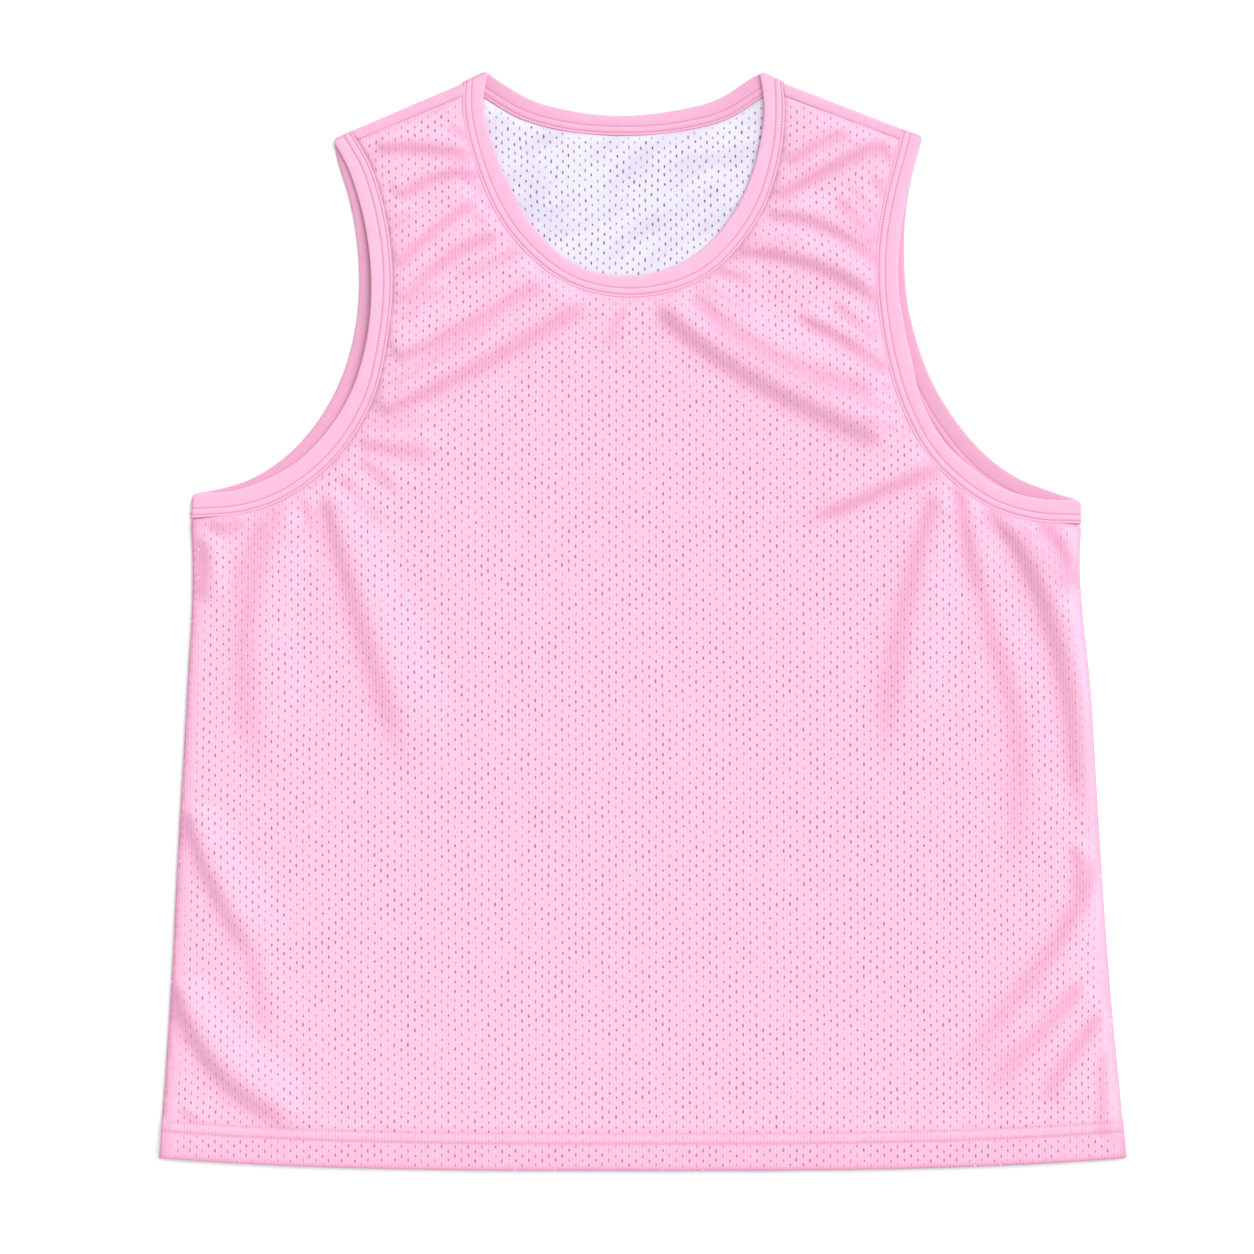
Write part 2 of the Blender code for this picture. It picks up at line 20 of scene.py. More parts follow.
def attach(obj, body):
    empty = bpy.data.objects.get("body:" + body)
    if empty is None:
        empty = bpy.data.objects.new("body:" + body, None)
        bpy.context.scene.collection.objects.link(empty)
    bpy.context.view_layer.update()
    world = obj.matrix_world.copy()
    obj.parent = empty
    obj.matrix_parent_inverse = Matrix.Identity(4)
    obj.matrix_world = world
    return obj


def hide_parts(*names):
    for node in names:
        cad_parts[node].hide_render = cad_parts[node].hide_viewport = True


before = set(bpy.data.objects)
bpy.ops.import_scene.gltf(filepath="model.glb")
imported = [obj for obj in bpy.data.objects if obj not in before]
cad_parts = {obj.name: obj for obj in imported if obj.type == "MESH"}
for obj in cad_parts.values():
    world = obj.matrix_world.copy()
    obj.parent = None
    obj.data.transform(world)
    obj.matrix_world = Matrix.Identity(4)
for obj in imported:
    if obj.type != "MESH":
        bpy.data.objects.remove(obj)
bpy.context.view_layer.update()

log = logging.getLogger("jersey")

MM = 0.001
BODY = "root"
KNIT_MAP = "knit"
# The cloth's colour attribute: red for how open the holes are, green for painted shade.
HOLES_AND_SHADE = "holes_and_painted_shade"

# How far a sharp corner of an outline may move as it is drawn inward, in shares of the distance
MITRE_LIMIT = 1.6
# What inner points keep away from an outline, in shares of their pitch
EDGE_CLEAR = 0.55
# The parts in which many points are measured, which keeps the memory small
BATCHES = 40

Points = np.ndarray
Height = Callable[[Points], np.ndarray]


class Section(NamedTuple):
    """A cut across a binding: its free edge, and the edge that is sewn to the panel."""

    free_x: float
    free_y: float
    sewn_x: float
    sewn_y: float


class StripEnd(NamedTuple):
    """One end of a shoulder strip: its fold, and where it is sewn to the front and the back."""

    fold_x: float
    fold_y: float
    front_x: float
    front_y: float
    back_x: float
    back_y: float


class Fold(NamedTuple):
    """A ridge with one steep side. The middle of that side runs through start, bend and end.

    The crest lies to the left of that line where crest is 1, and to its right where it is -1.
    Head and tail are the shares of its length over which it rises and dies away.
    """

    start: tuple[float, float]
    bend: tuple[float, float]
    end: tuple[float, float]
    height: float
    steep: float
    gentle: float
    crest: int
    head: float
    tail: float


class Rise(NamedTuple):
    """A place across a binding: how far it is from the sewn edge, and its relief there."""

    from_sewn: float
    relief: float


class Relief(NamedTuple):
    """A soft uneven relief: the size of its humps, the seed that picks it, and its share."""

    wave: float
    seed: float
    share: float


class Hold(Enum):
    """How a piece of cloth is held."""

    LAID = "laid"
    FOLDED = "folded"


class Slot(Enum):
    """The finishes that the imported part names."""

    MESH_KNIT = "mesh_knit"
    RIB_KNIT = "rib_knit"
    SHOULDER_TAPE = "shoulder_tape"


NECK_FOLD_LEFT = Section(-101.4, 357.6, -117.2, 350.2)
NECK_FOLD_RIGHT = Section(76.4, 357.2, 91.8, 350.2)
NECKBAND_FRONT = (
    NECK_FOLD_LEFT,
    Section(-103.4, 340.6, -117.4, 336.7),
    Section(-96.2, 304.9, -111.2, 302.9),
    Section(-87.1, 284.1, -101.5, 276.3),
    Section(-72.2, 257.4, -85.2, 249.0),
    Section(-39.7, 229.5, -45.5, 217.1),
    Section(-6.5, 224.3, -6.5, 210.0),
    Section(29.3, 234.7, 37.1, 221.0),
    Section(60.5, 267.8, 74.8, 260.7),
    Section(74.8, 304.9, 89.3, 301.6),
    Section(78.0, 340.6, 92.0, 338.0),
    NECK_FOLD_RIGHT,
)
NECKBAND_BACK = (
    NECK_FOLD_RIGHT,
    Section(66.5, 350.2, 77.0, 339.8),
    Section(57.0, 343.4, 65.4, 331.8),
    Section(47.5, 338.5, 54.6, 325.9),
    Section(23.4, 332.2, 26.7, 318.4),
    Section(-13.7, 328.3, -12.4, 315.3),
    Section(-50.1, 332.2, -54.0, 318.8),
    Section(-72.8, 338.7, -80.0, 326.3),
    Section(-94.9, 351.7, -103.4, 340.0),
    NECK_FOLD_LEFT,
)

LEFT_SHOULDER_FOLD = Section(-201.5, 312.7, -189.2, 318.5)
LEFT_UNDERARM_FOLD = Section(-292.5, 83.2, -293.8, 67.0)
LEFT_ARMBAND_FRONT = (
    LEFT_SHOULDER_FOLD,
    Section(-191.8, 294.5, -177.5, 297.7),
    Section(-184.0, 271.7, -169.7, 275.0),
    Section(-176.8, 230.1, -162.5, 231.4),
    Section(-179.4, 182.0, -165.8, 180.7),
    Section(-189.8, 148.2, -175.5, 142.4),
    Section(-204.1, 124.8, -192.0, 113.8),
    Section(-221.7, 106.0, -211.9, 93.0),
    Section(-242.5, 93.0, -237.3, 76.7),
    Section(-264.6, 84.9, -261.4, 69.2),
    LEFT_UNDERARM_FOLD,
)
LEFT_ARMBAND_BACK = (
    LEFT_UNDERARM_FOLD,
    Section(-277.6, 85.2, -275.6, 69.6),
    Section(-256.1, 91.7, -250.9, 76.7),
    Section(-234.7, 104.7, -224.9, 91.7),
    Section(-210.6, 130.7, -197.0, 122.2),
    Section(-196.3, 156.7, -181.4, 151.5),
    Section(-185.9, 195.7, -170.3, 194.4),
    Section(-184.6, 234.7, -169.0, 236.0),
    Section(-190.5, 273.7, -174.9, 276.3),
    Section(-198.3, 299.7, -182.7, 302.9),
    LEFT_SHOULDER_FOLD,
)

RIGHT_SHOULDER_FOLD = Section(182.0, 314.6, 168.4, 319.8)
RIGHT_UNDERARM_FOLD = Section(284.1, 78.7, 284.7, 63.1)
RIGHT_ARMBAND_FRONT = (
    RIGHT_SHOULDER_FOLD,
    Section(175.5, 294.5, 162.0, 296.4),
    Section(171.0, 273.7, 156.7, 275.6),
    Section(167.1, 248.3, 152.1, 248.3),
    Section(165.8, 219.7, 151.1, 219.7),
    Section(169.0, 195.0, 153.6, 193.7),
    Section(174.2, 171.0, 158.8, 166.4),
    Section(181.4, 141.7, 169.0, 135.3),
    Section(197.6, 114.4, 186.4, 105.0),
    Section(212.6, 100.1, 203.1, 88.2),
    Section(232.1, 86.9, 225.6, 73.3),
    Section(258.1, 79.4, 255.2, 64.4),
    RIGHT_UNDERARM_FOLD,
)
RIGHT_ARMBAND_BACK = (
    RIGHT_UNDERARM_FOLD,
    Section(262.0, 85.2, 258.1, 69.8),
    Section(245.7, 91.7, 238.6, 77.8),
    Section(226.2, 104.7, 215.8, 92.4),
    Section(202.8, 130.7, 189.8, 121.6),
    Section(187.2, 156.7, 172.9, 150.2),
    Section(177.5, 182.7, 162.5, 178.0),
    Section(171.6, 208.7, 156.0, 206.5),
    Section(169.7, 234.7, 154.1, 234.4),
    Section(170.3, 260.7, 154.7, 261.3),
    Section(174.9, 289.9, 159.3, 291.9),
    RIGHT_SHOULDER_FOLD,
)

# From the neckband to the armband
LEFT_STRIP = (
    StripEnd(-117.6, 349.0, -118.1, 340.2, -109.8, 343.3),
    StripEnd(-188.9, 318.4, -184.4, 312.4, -186.0, 311.2),
)
RIGHT_STRIP = (
    StripEnd(92.3, 349.0, 92.7, 340.0, 84.6, 343.7),
    StripEnd(168.0, 319.7, 165.4, 312.6, 165.3, 312.6),
)

HEM_CORNER_X = 314.0
HEM_CORNER_Y = -348.6

# The side seams, from the underarm down to the hem
LEFT_SIDE = (
    (-293.8, 66.6), (-292.6, 40.0), (-296.4, -51.0), (-302.3, -155.0), (-306.2, -233.0),
    (-HEM_CORNER_X, HEM_CORNER_Y),
)
RIGHT_SIDE = (
    (284.7, 62.7), (283.8, 48.0), (291.2, -51.0), (295.8, -129.0), (302.9, -233.0),
    (HEM_CORNER_X, HEM_CORNER_Y),
)

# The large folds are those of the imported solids
LARGE_FOLDS = (
    Fold((-174, 306), (-148, 307), (-112, 302), 3.4, 8, 12, 1, 0.15, 0.12),
    Fold((-161, 228), (-138, 251), (-107, 274), 3.8, 7, 16, 1, 0.12, 0.15),
    Fold((-159, 203), (-125, 237), (-91, 250), 3.8, 8, 18, 1, 0.15, 0.15),
    Fold((-162, 168), (-116, 191), (-62, 222), 5.2, 9, 22, 1, 0.1, 0.12),
    Fold((-174, 133), (-106, 166), (-32, 210), 6.0, 11, 22, 1, 0.1, 0.15),
    Fold((-209, 86), (-183, -3), (-150, -110), 5.0, 12, 24, 1, 0.1, 0.5),
    Fold((-232, 80), (-258, -12), (-244, -116), 3.2, 12, 24, 1, 0.12, 0.5),
    Fold((-298, -120), (-278, -175), (-244, -232), 4.6, 9, 20, 1, 0.12, 0.5),
    Fold((-307, -232), (-272, -297), (-214, -329), 5.8, 11, 21, 1, 0.12, 0.4),
    Fold((84, 273), (119, 293), (158, 312), 4.6, 8, 14, 1, 0.15, 0.15),
    Fold((79, 262), (116, 257), (155, 230), 3.4, 8, 16, 1, 0.15, 0.15),
    Fold((52, 238), (105, 233), (162, 204), 4.8, 9, 18, 1, 0.12, 0.15),
    Fold((29, 216), (83, 172), (157, 146), 4.2, 11, 20, 1, 0.12, 0.15),
    Fold((6, 207), (66, 160), (161, 114), 6.2, 13, 22, 1, 0.12, 0.15),
    Fold((98, 61), (148, 82), (196, 102), 3.6, 9, 14, 1, 0.5, 0.12),
    Fold((192, 88), (167, -6), (155, -105), 4.2, 12, 24, 1, 0.1, 0.5),
    Fold((206, 94), (211, 49), (224, 6), 3.4, 8, 14, 1, 0.12, 0.5),
    Fold((219, 4), (243, -77), (237, -170), 2.6, 12, 22, 1, 0.35, 0.45),
    Fold((218, 81), (266, -7), (283, -136), 6.2, 13, 18, 1, 0.1, 0.3),
    Fold((294, -150), (265, -214), (196, -297), 5.2, 10, 22, 1, 0.12, 0.5),
    Fold((288, -232), (252, -274), (216, -313), 3.6, 9, 16, 1, 0.15, 0.5),
    Fold((300, -252), (278, -282), (256, -316), 3.4, 8, 14, 1, 0.2, 0.4),
)
SMALL_FOLDS = (
    Fold((-129, 307), (-120, 303), (-111, 298), 2.4, 7, 9, 1, 0.2, 0.15),
    Fold((-126, 322), (-120, 318), (-113, 314), 1.8, 6, 8, 1, 0.3, 0.15),
    Fold((-160, 273), (-134, 288), (-105, 289), 3.2, 7, 12, 1, 0.15, 0.15),
    Fold((-162, 253), (-158, 259), (-150, 268), 1.5, 6, 9, 1, 0.2, 0.4),
    Fold((-112, 259), (-106, 261), (-99, 261), 1.2, 5, 8, 1, 0.4, 0.2),
    Fold((-157, 194), (-142, 209), (-127, 220), 1.3, 6, 9, 1, 0.2, 0.4),
    Fold((-122, 220), (-103, 231), (-80, 241), 1.4, 6, 9, 1, 0.4, 0.2),
    Fold((-167, 151), (-142, 166), (-86, 201), 1.8, 6, 10, 1, 0.15, 0.4),
    Fold((-179, 128), (-158, 127), (-132, 135), 1.3, 6, 9, 1, 0.2, 0.5),
    Fold((-184, 105), (-168, 92), (-158, 79), 1.4, 6, 9, 1, 0.15, 0.5),
    Fold((-197, 95), (-184, 79), (-166, 56), 1.2, 6, 10, 1, 0.15, 0.5),
    Fold((-186, 116), (-157, 111), (-127, 110), 2.6, 8, 12, 1, 0.15, 0.5),
    Fold((-219, 82), (-217, 68), (-213, 52), 1.2, 5, 8, 1, 0.2, 0.5),
    Fold((-245, 68), (-256, 42), (-269, 12), 1.6, 7, 11, 1, 0.15, 0.5),
    Fold((-283, 65), (-271, 61), (-258, 67), 3.2, 8, 8, 1, 0.3, 0.3),
    Fold((-290, 58), (-284, 36), (-288, 8), 3.0, 8, 9, 1, 0.3, 0.4),
    Fold((-258, -212), (-249, -240), (-244, -275), 1.2, 9, 14, 1, 0.3, 0.5),
    Fold((-301, -317), (-294, -321), (-287, -326), 1.4, 5, 7, 1, 0.2, 0.3),
    Fold((-11, 207), (-17, 192), (-25, 174), 1.2, 7, 11, 1, 0.2, 0.5),
    Fold((93, 296), (110, 308), (136, 318), 3.4, 7, 11, 1, 0.15, 0.2),
    Fold((153, 311), (158, 305), (162, 298), 2.4, 6, 8, 1, 0.2, 0.2),
    Fold((149, 289), (153, 283), (157, 275), 1.8, 5, 7, 1, 0.2, 0.3),
    Fold((123, 278), (136, 263), (153, 242), 2.4, 7, 9, 1, 0.35, 0.15),
    Fold((131, 283), (141, 274), (154, 255), 1.2, 5, 8, 1, 0.3, 0.15),
    Fold((68, 247), (89, 248), (110, 244), 1.2, 6, 8, 1, 0.2, 0.5),
    Fold((47, 228), (60, 224), (73, 218), 2.2, 6, 9, 1, 0.15, 0.5),
    Fold((40, 218), (57, 209), (76, 194), 1.2, 6, 9, 1, 0.15, 0.5),
    Fold((120, 209), (135, 197), (153, 181), 2.0, 6, 9, 1, 0.4, 0.15),
    Fold((96, 200), (128, 183), (159, 161), 3.2, 8, 13, 1, 0.35, 0.15),
    Fold((140, 142), (151, 141), (164, 136), 1.5, 5, 8, 1, 0.4, 0.15),
    Fold((140, 132), (153, 129), (166, 124), 1.2, 5, 8, 1, 0.4, 0.15),
    Fold((255, 63), (269, 50), (280, 16), 4.2, 11, 10, 1, 0.15, 0.3),
    Fold((242, 66), (261, 40), (281, 10), 1.3, 6, 8, 1, 0.15, 0.4),
    Fold((275, -146), (283, -157), (279, -178), 2.2, 7, 10, 1, 0.3, 0.3),
    Fold((218, 24), (224, 2), (233, -32), 1.6, 9, 14, 1, 0.4, 0.4),
    Fold((300, -272), (298, -300), (300, -340), 1.6, 6, 7, 1, 0.3, 0.3),
)


def smooth(rows: tuple, pitch: float) -> Points:
    """Makes points at an even pitch along a smooth line through the rows.

    Args:
        rows: places with the same number of columns.
        pitch: the wanted spacing.

    Returns:
        The points, with the rows' columns.
    """
    rows = np.array(rows, float)
    steps = np.linalg.norm(np.diff(rows, axis=0), axis=1) / math.sqrt(rows.shape[1] / 2)
    knots = np.concatenate(([0.0], np.cumsum(steps)))
    slopes = np.gradient(rows, knots, axis=0)
    count = max(2, round(knots[-1] / pitch) + 1)
    along = np.linspace(0.0, knots[-1], count)
    part = np.clip(np.searchsorted(knots, along, side="right") - 1, 0, len(steps) - 1)
    length = steps[part][:, None]
    t = (along - knots[part])[:, None] / length
    leave, reach = slopes[part] * length, slopes[part + 1] * length
    return (
        (2 * t**3 - 3 * t**2 + 1) * rows[part]
        + (t**3 - 2 * t**2 + t) * leave
        + (3 * t**2 - 2 * t**3) * rows[part + 1]
        + (t**3 - t**2) * reach
    )


def ease(value: np.ndarray) -> np.ndarray:
    """Gives zero below 0, one above 1, and a smooth step between them."""
    value = np.clip(value, 0.0, 1.0)
    return value * value * (3.0 - 2.0 * value)


def unit(ways: Points) -> Points:
    """Gives each row of ways the length of one."""
    return ways / np.linalg.norm(ways, axis=1)[:, None]


def nearest(points: Points, line: Points) -> tuple[np.ndarray, np.ndarray, np.ndarray]:
    """Measures each point against a line.

    Args:
        points: places on the plan.
        line: the line's points, in order.

    Returns:
        The distance to the line, the side (1 is left) and the share of the way along.
    """
    start, step = line[:-1], np.diff(line, axis=0)
    length = np.linalg.norm(step, axis=1)
    away = points[:, None, :] - start[None, :, :]
    t = np.clip((away * step).sum(2) / length**2, 0.0, 1.0)
    gap = away - t[:, :, None] * step
    far = np.linalg.norm(gap, axis=2)
    best = far.argmin(axis=1)
    row = np.arange(len(points))
    side = np.sign(step[best, 0] * away[row, best, 1] - step[best, 1] * away[row, best, 0])
    before = np.concatenate(([0.0], np.cumsum(length)))
    along = (before[best] + t[row, best] * length[best]) / before[-1]
    return far[row, best], side, along


def inside(points: Points, outline: Points) -> np.ndarray:
    """Tells which of the points lie inside the closed outline.

    Args:
        points: places on the plan.
        outline: the outline's points, in order.

    Returns:
        True for each point inside.
    """
    x0, y0 = outline[:, 0], outline[:, 1]
    x1, y1 = np.roll(x0, -1), np.roll(y0, -1)
    odd = np.zeros(len(points), bool)
    for ax, ay, bx, by in zip(x0, y0, x1, y1):
        if ay != by:
            spans = (ay > points[:, 1]) != (by > points[:, 1])
            odd ^= spans & (points[:, 0] < (bx - ax) * (points[:, 1] - ay) / (by - ay) + ax)
    return odd


def inset(outline: Points, distance: float) -> Points:
    """Moves a closed outline, which runs anticlockwise, inward by the distance.

    Args:
        outline: the outline's points, in order.
        distance: how far to move it.

    Returns:
        The moved points.
    """
    ahead = unit(np.roll(outline, -1, axis=0) - outline)
    behind = np.roll(ahead, 1, axis=0)
    normal = np.stack((-ahead[:, 1] - behind[:, 1], ahead[:, 0] + behind[:, 0]), axis=1)
    length = np.linalg.norm(normal, axis=1)[:, None]
    normal /= length
    return outline + normal * distance * np.clip(2.0 / length, 1.0, MITRE_LIMIT)


def lattice(low: Points, high: Points, pitch: float) -> Points:
    """Makes an even triangular lattice of points over a box of the plan.

    Args:
        low: the box's lower left corner.
        high: its upper right corner.
        pitch: the spacing of the points.

    Returns:
        The points.
    """
    made = []
    for number, y in enumerate(np.arange(low[1], high[1], pitch * math.sqrt(0.75))):
        x = np.arange(low[0] + pitch / 2 * (number % 2), high[0], pitch)
        made.append(np.stack((x, np.full_like(x, y)), axis=1))
    return np.concatenate(made)


def spaced(points: Points, outline: Points, gap: float) -> Points:
    """Keeps the points that lie inside an outline and further from it than the gap.

    Args:
        points: places on the plan.
        outline: the outline's points, in order.
        gap: what is kept clear.

    Returns:
        The kept points.
    """
    points = points[inside(points, outline)]
    closed = np.concatenate((outline, outline[:1]))
    parts = np.array_split(points, BATCHES)
    return points[np.concatenate([nearest(part, closed)[0] for part in parts]) > gap]


def rumple(points: Points, wave: float, seed: float) -> np.ndarray:
    """Gives a soft uneven relief, from about -1 to 1.

    Args:
        points: places on the plan.
        wave: the size of its humps.
        seed: picks one such relief.

    Returns:
        The relief at each place.
    """
    return np.array([noise.noise((x / wave, y / wave, seed)) for x, y in points])


def rumples(points: Points, reliefs: tuple[Relief, ...]) -> np.ndarray:
    """Adds up several uneven reliefs, each by its share."""
    return sum(one.share * rumple(points, one.wave, one.seed) for one in reliefs)


def resample(line: Points, pitch: float) -> Points:
    """Gives points at an even pitch along a polyline, with its two ends kept.

    Args:
        line: the polyline's points, in order.
        pitch: the wanted spacing.

    Returns:
        The points.
    """
    before = np.concatenate(([0.0], np.cumsum(np.linalg.norm(np.diff(line, axis=0), axis=1))))
    along = np.linspace(0.0, before[-1], max(2, round(before[-1] / pitch) + 1))
    return np.stack([np.interp(along, before, column) for column in line.T], axis=1)


@dataclass(frozen=True)
class Lay:
    """How the jersey lies: its walls, its heights above the floor, and its hem."""

    panel_wall: float = 1.2
    hem_wall: float = 2.0
    band_wall: float = 1.8
    seam_gap: float = 0.3
    seam_rise: float = 7.0
    side_rise: float = 9.0
    fold_rise: float = 3.5
    air: float = 0.2
    hem_depth: float = 24.0
    hem_taper: float = 2.5
    hem_bow: float = 8.3
    band_pitch: float = 9.5
    straight_pitch: float = 16.0
    fold_norm: float = 3.0
    stand_middle: tuple[float, float] = (-178.0, 205.0)
    stand_half_size: tuple[float, float] = (46.0, 96.0)
    stand_height: float = 3.0

    @property
    def back_top(self) -> float:
        """The height of the back's inner face."""
        return self.panel_wall

    @property
    def back_band(self) -> float:
        """The height of the middle of a binding where it runs along the back."""
        return self.band_wall / 2

    @property
    def front_band(self) -> float:
        """The height of the middle of a binding where it runs along the front."""
        return self.band_wall * 1.5 + self.seam_gap

    @property
    def turn_radius(self) -> float:
        """The radius of the middle of a binding where it folds under."""
        return (self.front_band - self.back_band) / 2

    @property
    def front_seam(self) -> float:
        """The height of the front's face where it meets a binding."""
        return self.front_band + self.panel_wall / 2

    @property
    def front_side(self) -> float:
        """The height of the front's face at the side seams."""
        return self.back_top + self.seam_gap + self.panel_wall

    @property
    def loft(self) -> float:
        """The height of the front's face where it lies flat."""
        return self.hem_wall * 2 + self.seam_gap + self.air

    def hem_edge(self, x: np.ndarray) -> np.ndarray:
        """Gives the place on the plan of the hem's lower edge."""
        share = np.abs(np.clip(x / HEM_CORNER_X, -1, 1)) ** 3
        return HEM_CORNER_Y - self.hem_bow * (1.0 - share)

    def above_hem(self, points: Points) -> np.ndarray:
        """Measures how far up the points lie from the hem's lower edge."""
        return points[:, 1] - self.hem_edge(points[:, 0])

    def hem_share(self, points: Points) -> np.ndarray:
        """Gives one within the hem, zero above it, and a short taper between them."""
        return 1.0 - ease((self.above_hem(points) - self.hem_depth) / self.hem_taper)

    def stand(self, points: Points) -> np.ndarray:
        """Gives how far the front and its binding stand up along the left armhole."""
        share = np.abs(points - self.stand_middle) / self.stand_half_size
        return self.stand_height * ease(1.0 - share).prod(axis=1)

    def fold_way(self, fold: np.ndarray, neighbour: np.ndarray) -> np.ndarray:
        """Gives the level direction from a binding's middle out over its fold.

        Args:
            fold: the binding's section at its fold.
            neighbour: the section beside it.

        Returns:
            A direction on the plan.
        """
        line = fold[2:] - fold[:2]
        out = np.array((line[1], -line[0])) / np.linalg.norm(line)
        return out if out @ (fold[:2] - neighbour[:2]) > 0 else -out

    def flat_run(self, rows: tuple[Section, ...], pitch: float) -> Points:
        """Gives sections at an even pitch along the flat run of a binding, fold to fold.

        Args:
            rows: the binding's sections, with its two folds at the ends.
            pitch: the wanted spacing.

        Returns:
            A row of free x, free y, sewn x and sewn y for each section.
        """
        rows = np.array(rows, float)
        reach = self.turn_radius + self.band_wall / 2
        first = rows[0] - reach * np.tile(self.fold_way(rows[0], rows[1]), 2)
        last = rows[-1] - reach * np.tile(self.fold_way(rows[-1], rows[-2]), 2)
        coarse = smooth(np.concatenate(((first,), rows[1:-1], (last,))), self.band_pitch)
        return smooth(coarse, pitch)

    def sewn_edge(self, rows: tuple[Section, ...], pitch: float) -> Points:
        """Gives the edge of a binding that is sewn to a panel."""
        return self.flat_run(rows, pitch)[:, 2:]


LAY = Lay()


@dataclass(frozen=True)
class Cut:
    """The seams round a panel, and the outline that they make."""

    neck: tuple[Section, ...]
    left_arm: tuple[Section, ...]
    right_arm: tuple[Section, ...]
    left_seam: tuple[tuple[float, float], tuple[float, float]]
    right_seam: tuple[tuple[float, float], tuple[float, float]]
    hem_inset: float
    clear: float = 0.08
    tuck: float = 0.45
    corner_tuck: float = 1.3

    def outline(self, pitch: float) -> Points:
        """Makes the panel's outline, anticlockwise, clear of the pieces that it is sewn to.

        Args:
            pitch: the spacing of its points.

        Returns:
            The outline's points.
        """
        neck = self.tucked(self.neck, pitch)
        if neck[0, 0] < neck[-1, 0]:
            neck = neck[::-1]
        left_arm, right_arm = (
            line if line[0, 1] > line[-1, 1] else line[::-1]
            for line in (self.tucked(rows, pitch) for rows in (self.left_arm, self.right_arm))
        )
        shoulder = min(self.left_seam[0][1], self.right_seam[0][1])
        x = np.linspace(-HEM_CORNER_X, HEM_CORNER_X, round(2 * HEM_CORNER_X / pitch))
        hem = np.stack((x, LAY.hem_edge(x) + self.hem_inset), axis=1)
        left_seam = resample(self.under_strip(self.left_seam), pitch)
        right_seam = resample(self.under_strip(self.right_seam), pitch)[::-1]
        made = np.concatenate((
            left_seam,
            left_arm[left_arm[:, 1] < self.left_seam[1][1] - pitch / 2],
            smooth(LEFT_SIDE, pitch)[1:-1],
            hem,
            smooth(RIGHT_SIDE, pitch)[1:-1][::-1],
            right_arm[right_arm[:, 1] < self.right_seam[1][1] - pitch / 2][::-1],
            right_seam,
            neck[neck[:, 1] < shoulder - pitch / 2],
        ))
        return inset(made, self.clear)

    def tucked(self, rows: tuple[Section, ...], pitch: float) -> Points:
        """Gives a binding's sewn edge, moved a little under the binding.

        Args:
            rows: the binding's sections.
            pitch: the spacing of the points.

        Returns:
            The edge's points.
        """
        run = LAY.flat_run(rows, pitch)
        way = run[:, :2] - run[:, 2:]
        return run[:, 2:] + unit(way) * self.tuck

    def under_strip(self, seam: tuple[tuple[float, float], tuple[float, float]]) -> Points:
        """Gives a shoulder seam, moved under its strip and made longer at both ends.

        Args:
            seam: the seam's two ends.

        Returns:
            The moved ends.
        """
        line = np.array(seam)
        way = (line[1] - line[0]) / np.linalg.norm(line[1] - line[0])
        return line + np.array((-way, way)) * self.corner_tuck + (0.0, self.tuck)

    def bound_edges(self) -> list[Points]:
        """Gives the lines where the panel is sewn to the bindings and the strips."""
        rows = (self.neck, self.left_arm, self.right_arm)
        seams = (np.array(self.left_seam, float), np.array(self.right_seam, float))
        return [LAY.sewn_edge(one, LAY.band_pitch) for one in rows] + list(seams)


def link(name: str, mesh: bpy.types.Mesh, finishes: list[bpy.types.Material]) -> bpy.types.Object:
    """Puts a mesh in the scene as a smooth piece of the jersey.

    Args:
        name: the piece's name.
        mesh: its mesh, in metres.
        finishes: its materials, in the order of its faces' numbers.

    Returns:
        The piece, which rides on the jersey's one body.
    """
    for finish in finishes:
        mesh.materials.append(finish)
    mesh.shade_smooth()
    made = bpy.data.objects.new(name, mesh)
    bpy.context.scene.collection.objects.link(made)
    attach(made, BODY)
    log.info("%s: %d faces", name, len(mesh.polygons))
    return made


def set_map(mesh: bpy.types.Mesh, places: Points) -> None:
    """Gives a mesh its cloth's own coordinates, in metres, from a pair for each corner.

    Args:
        mesh: the mesh.
        places: each corner's place on the cloth, in millimetres.
    """
    vertex = np.empty(len(mesh.loops), int)
    mesh.loops.foreach_get("vertex_index", vertex)
    layer = mesh.uv_layers.new(name=KNIT_MAP)
    layer.uv.foreach_set("vector", (places[vertex] * MM).astype(np.float32).ravel())


def new_mesh(name: str, corners: Points, faces: list, places: Points) -> bpy.types.Mesh:
    """Makes a mesh with its cloth's own coordinates.

    Args:
        name: the mesh's name.
        corners: its corner points, in millimetres.
        faces: the numbers of each face's corners.
        places: each corner's place on the cloth, in millimetres.

    Returns:
        The mesh, in metres.
    """
    mesh = bpy.data.meshes.new(name)
    mesh.from_pydata((corners * MM).tolist(), [], faces)
    set_map(mesh, places)
    return mesh


def set_colour(mesh: bpy.types.Mesh, red: np.ndarray, green: np.ndarray) -> None:
    """Writes two values for each corner point of a mesh into its colour.

    Args:
        mesh: the mesh.
        red: how open the holes are.
        green: how much painted shade the corner gets.
    """
    values = np.column_stack((red, green, np.zeros(len(red)), np.ones(len(red))))
    layer = mesh.color_attributes.new(name=HOLES_AND_SHADE, type="FLOAT_COLOR", domain="POINT")
    layer.data.foreach_set("color", values.astype(np.float32).ravel())


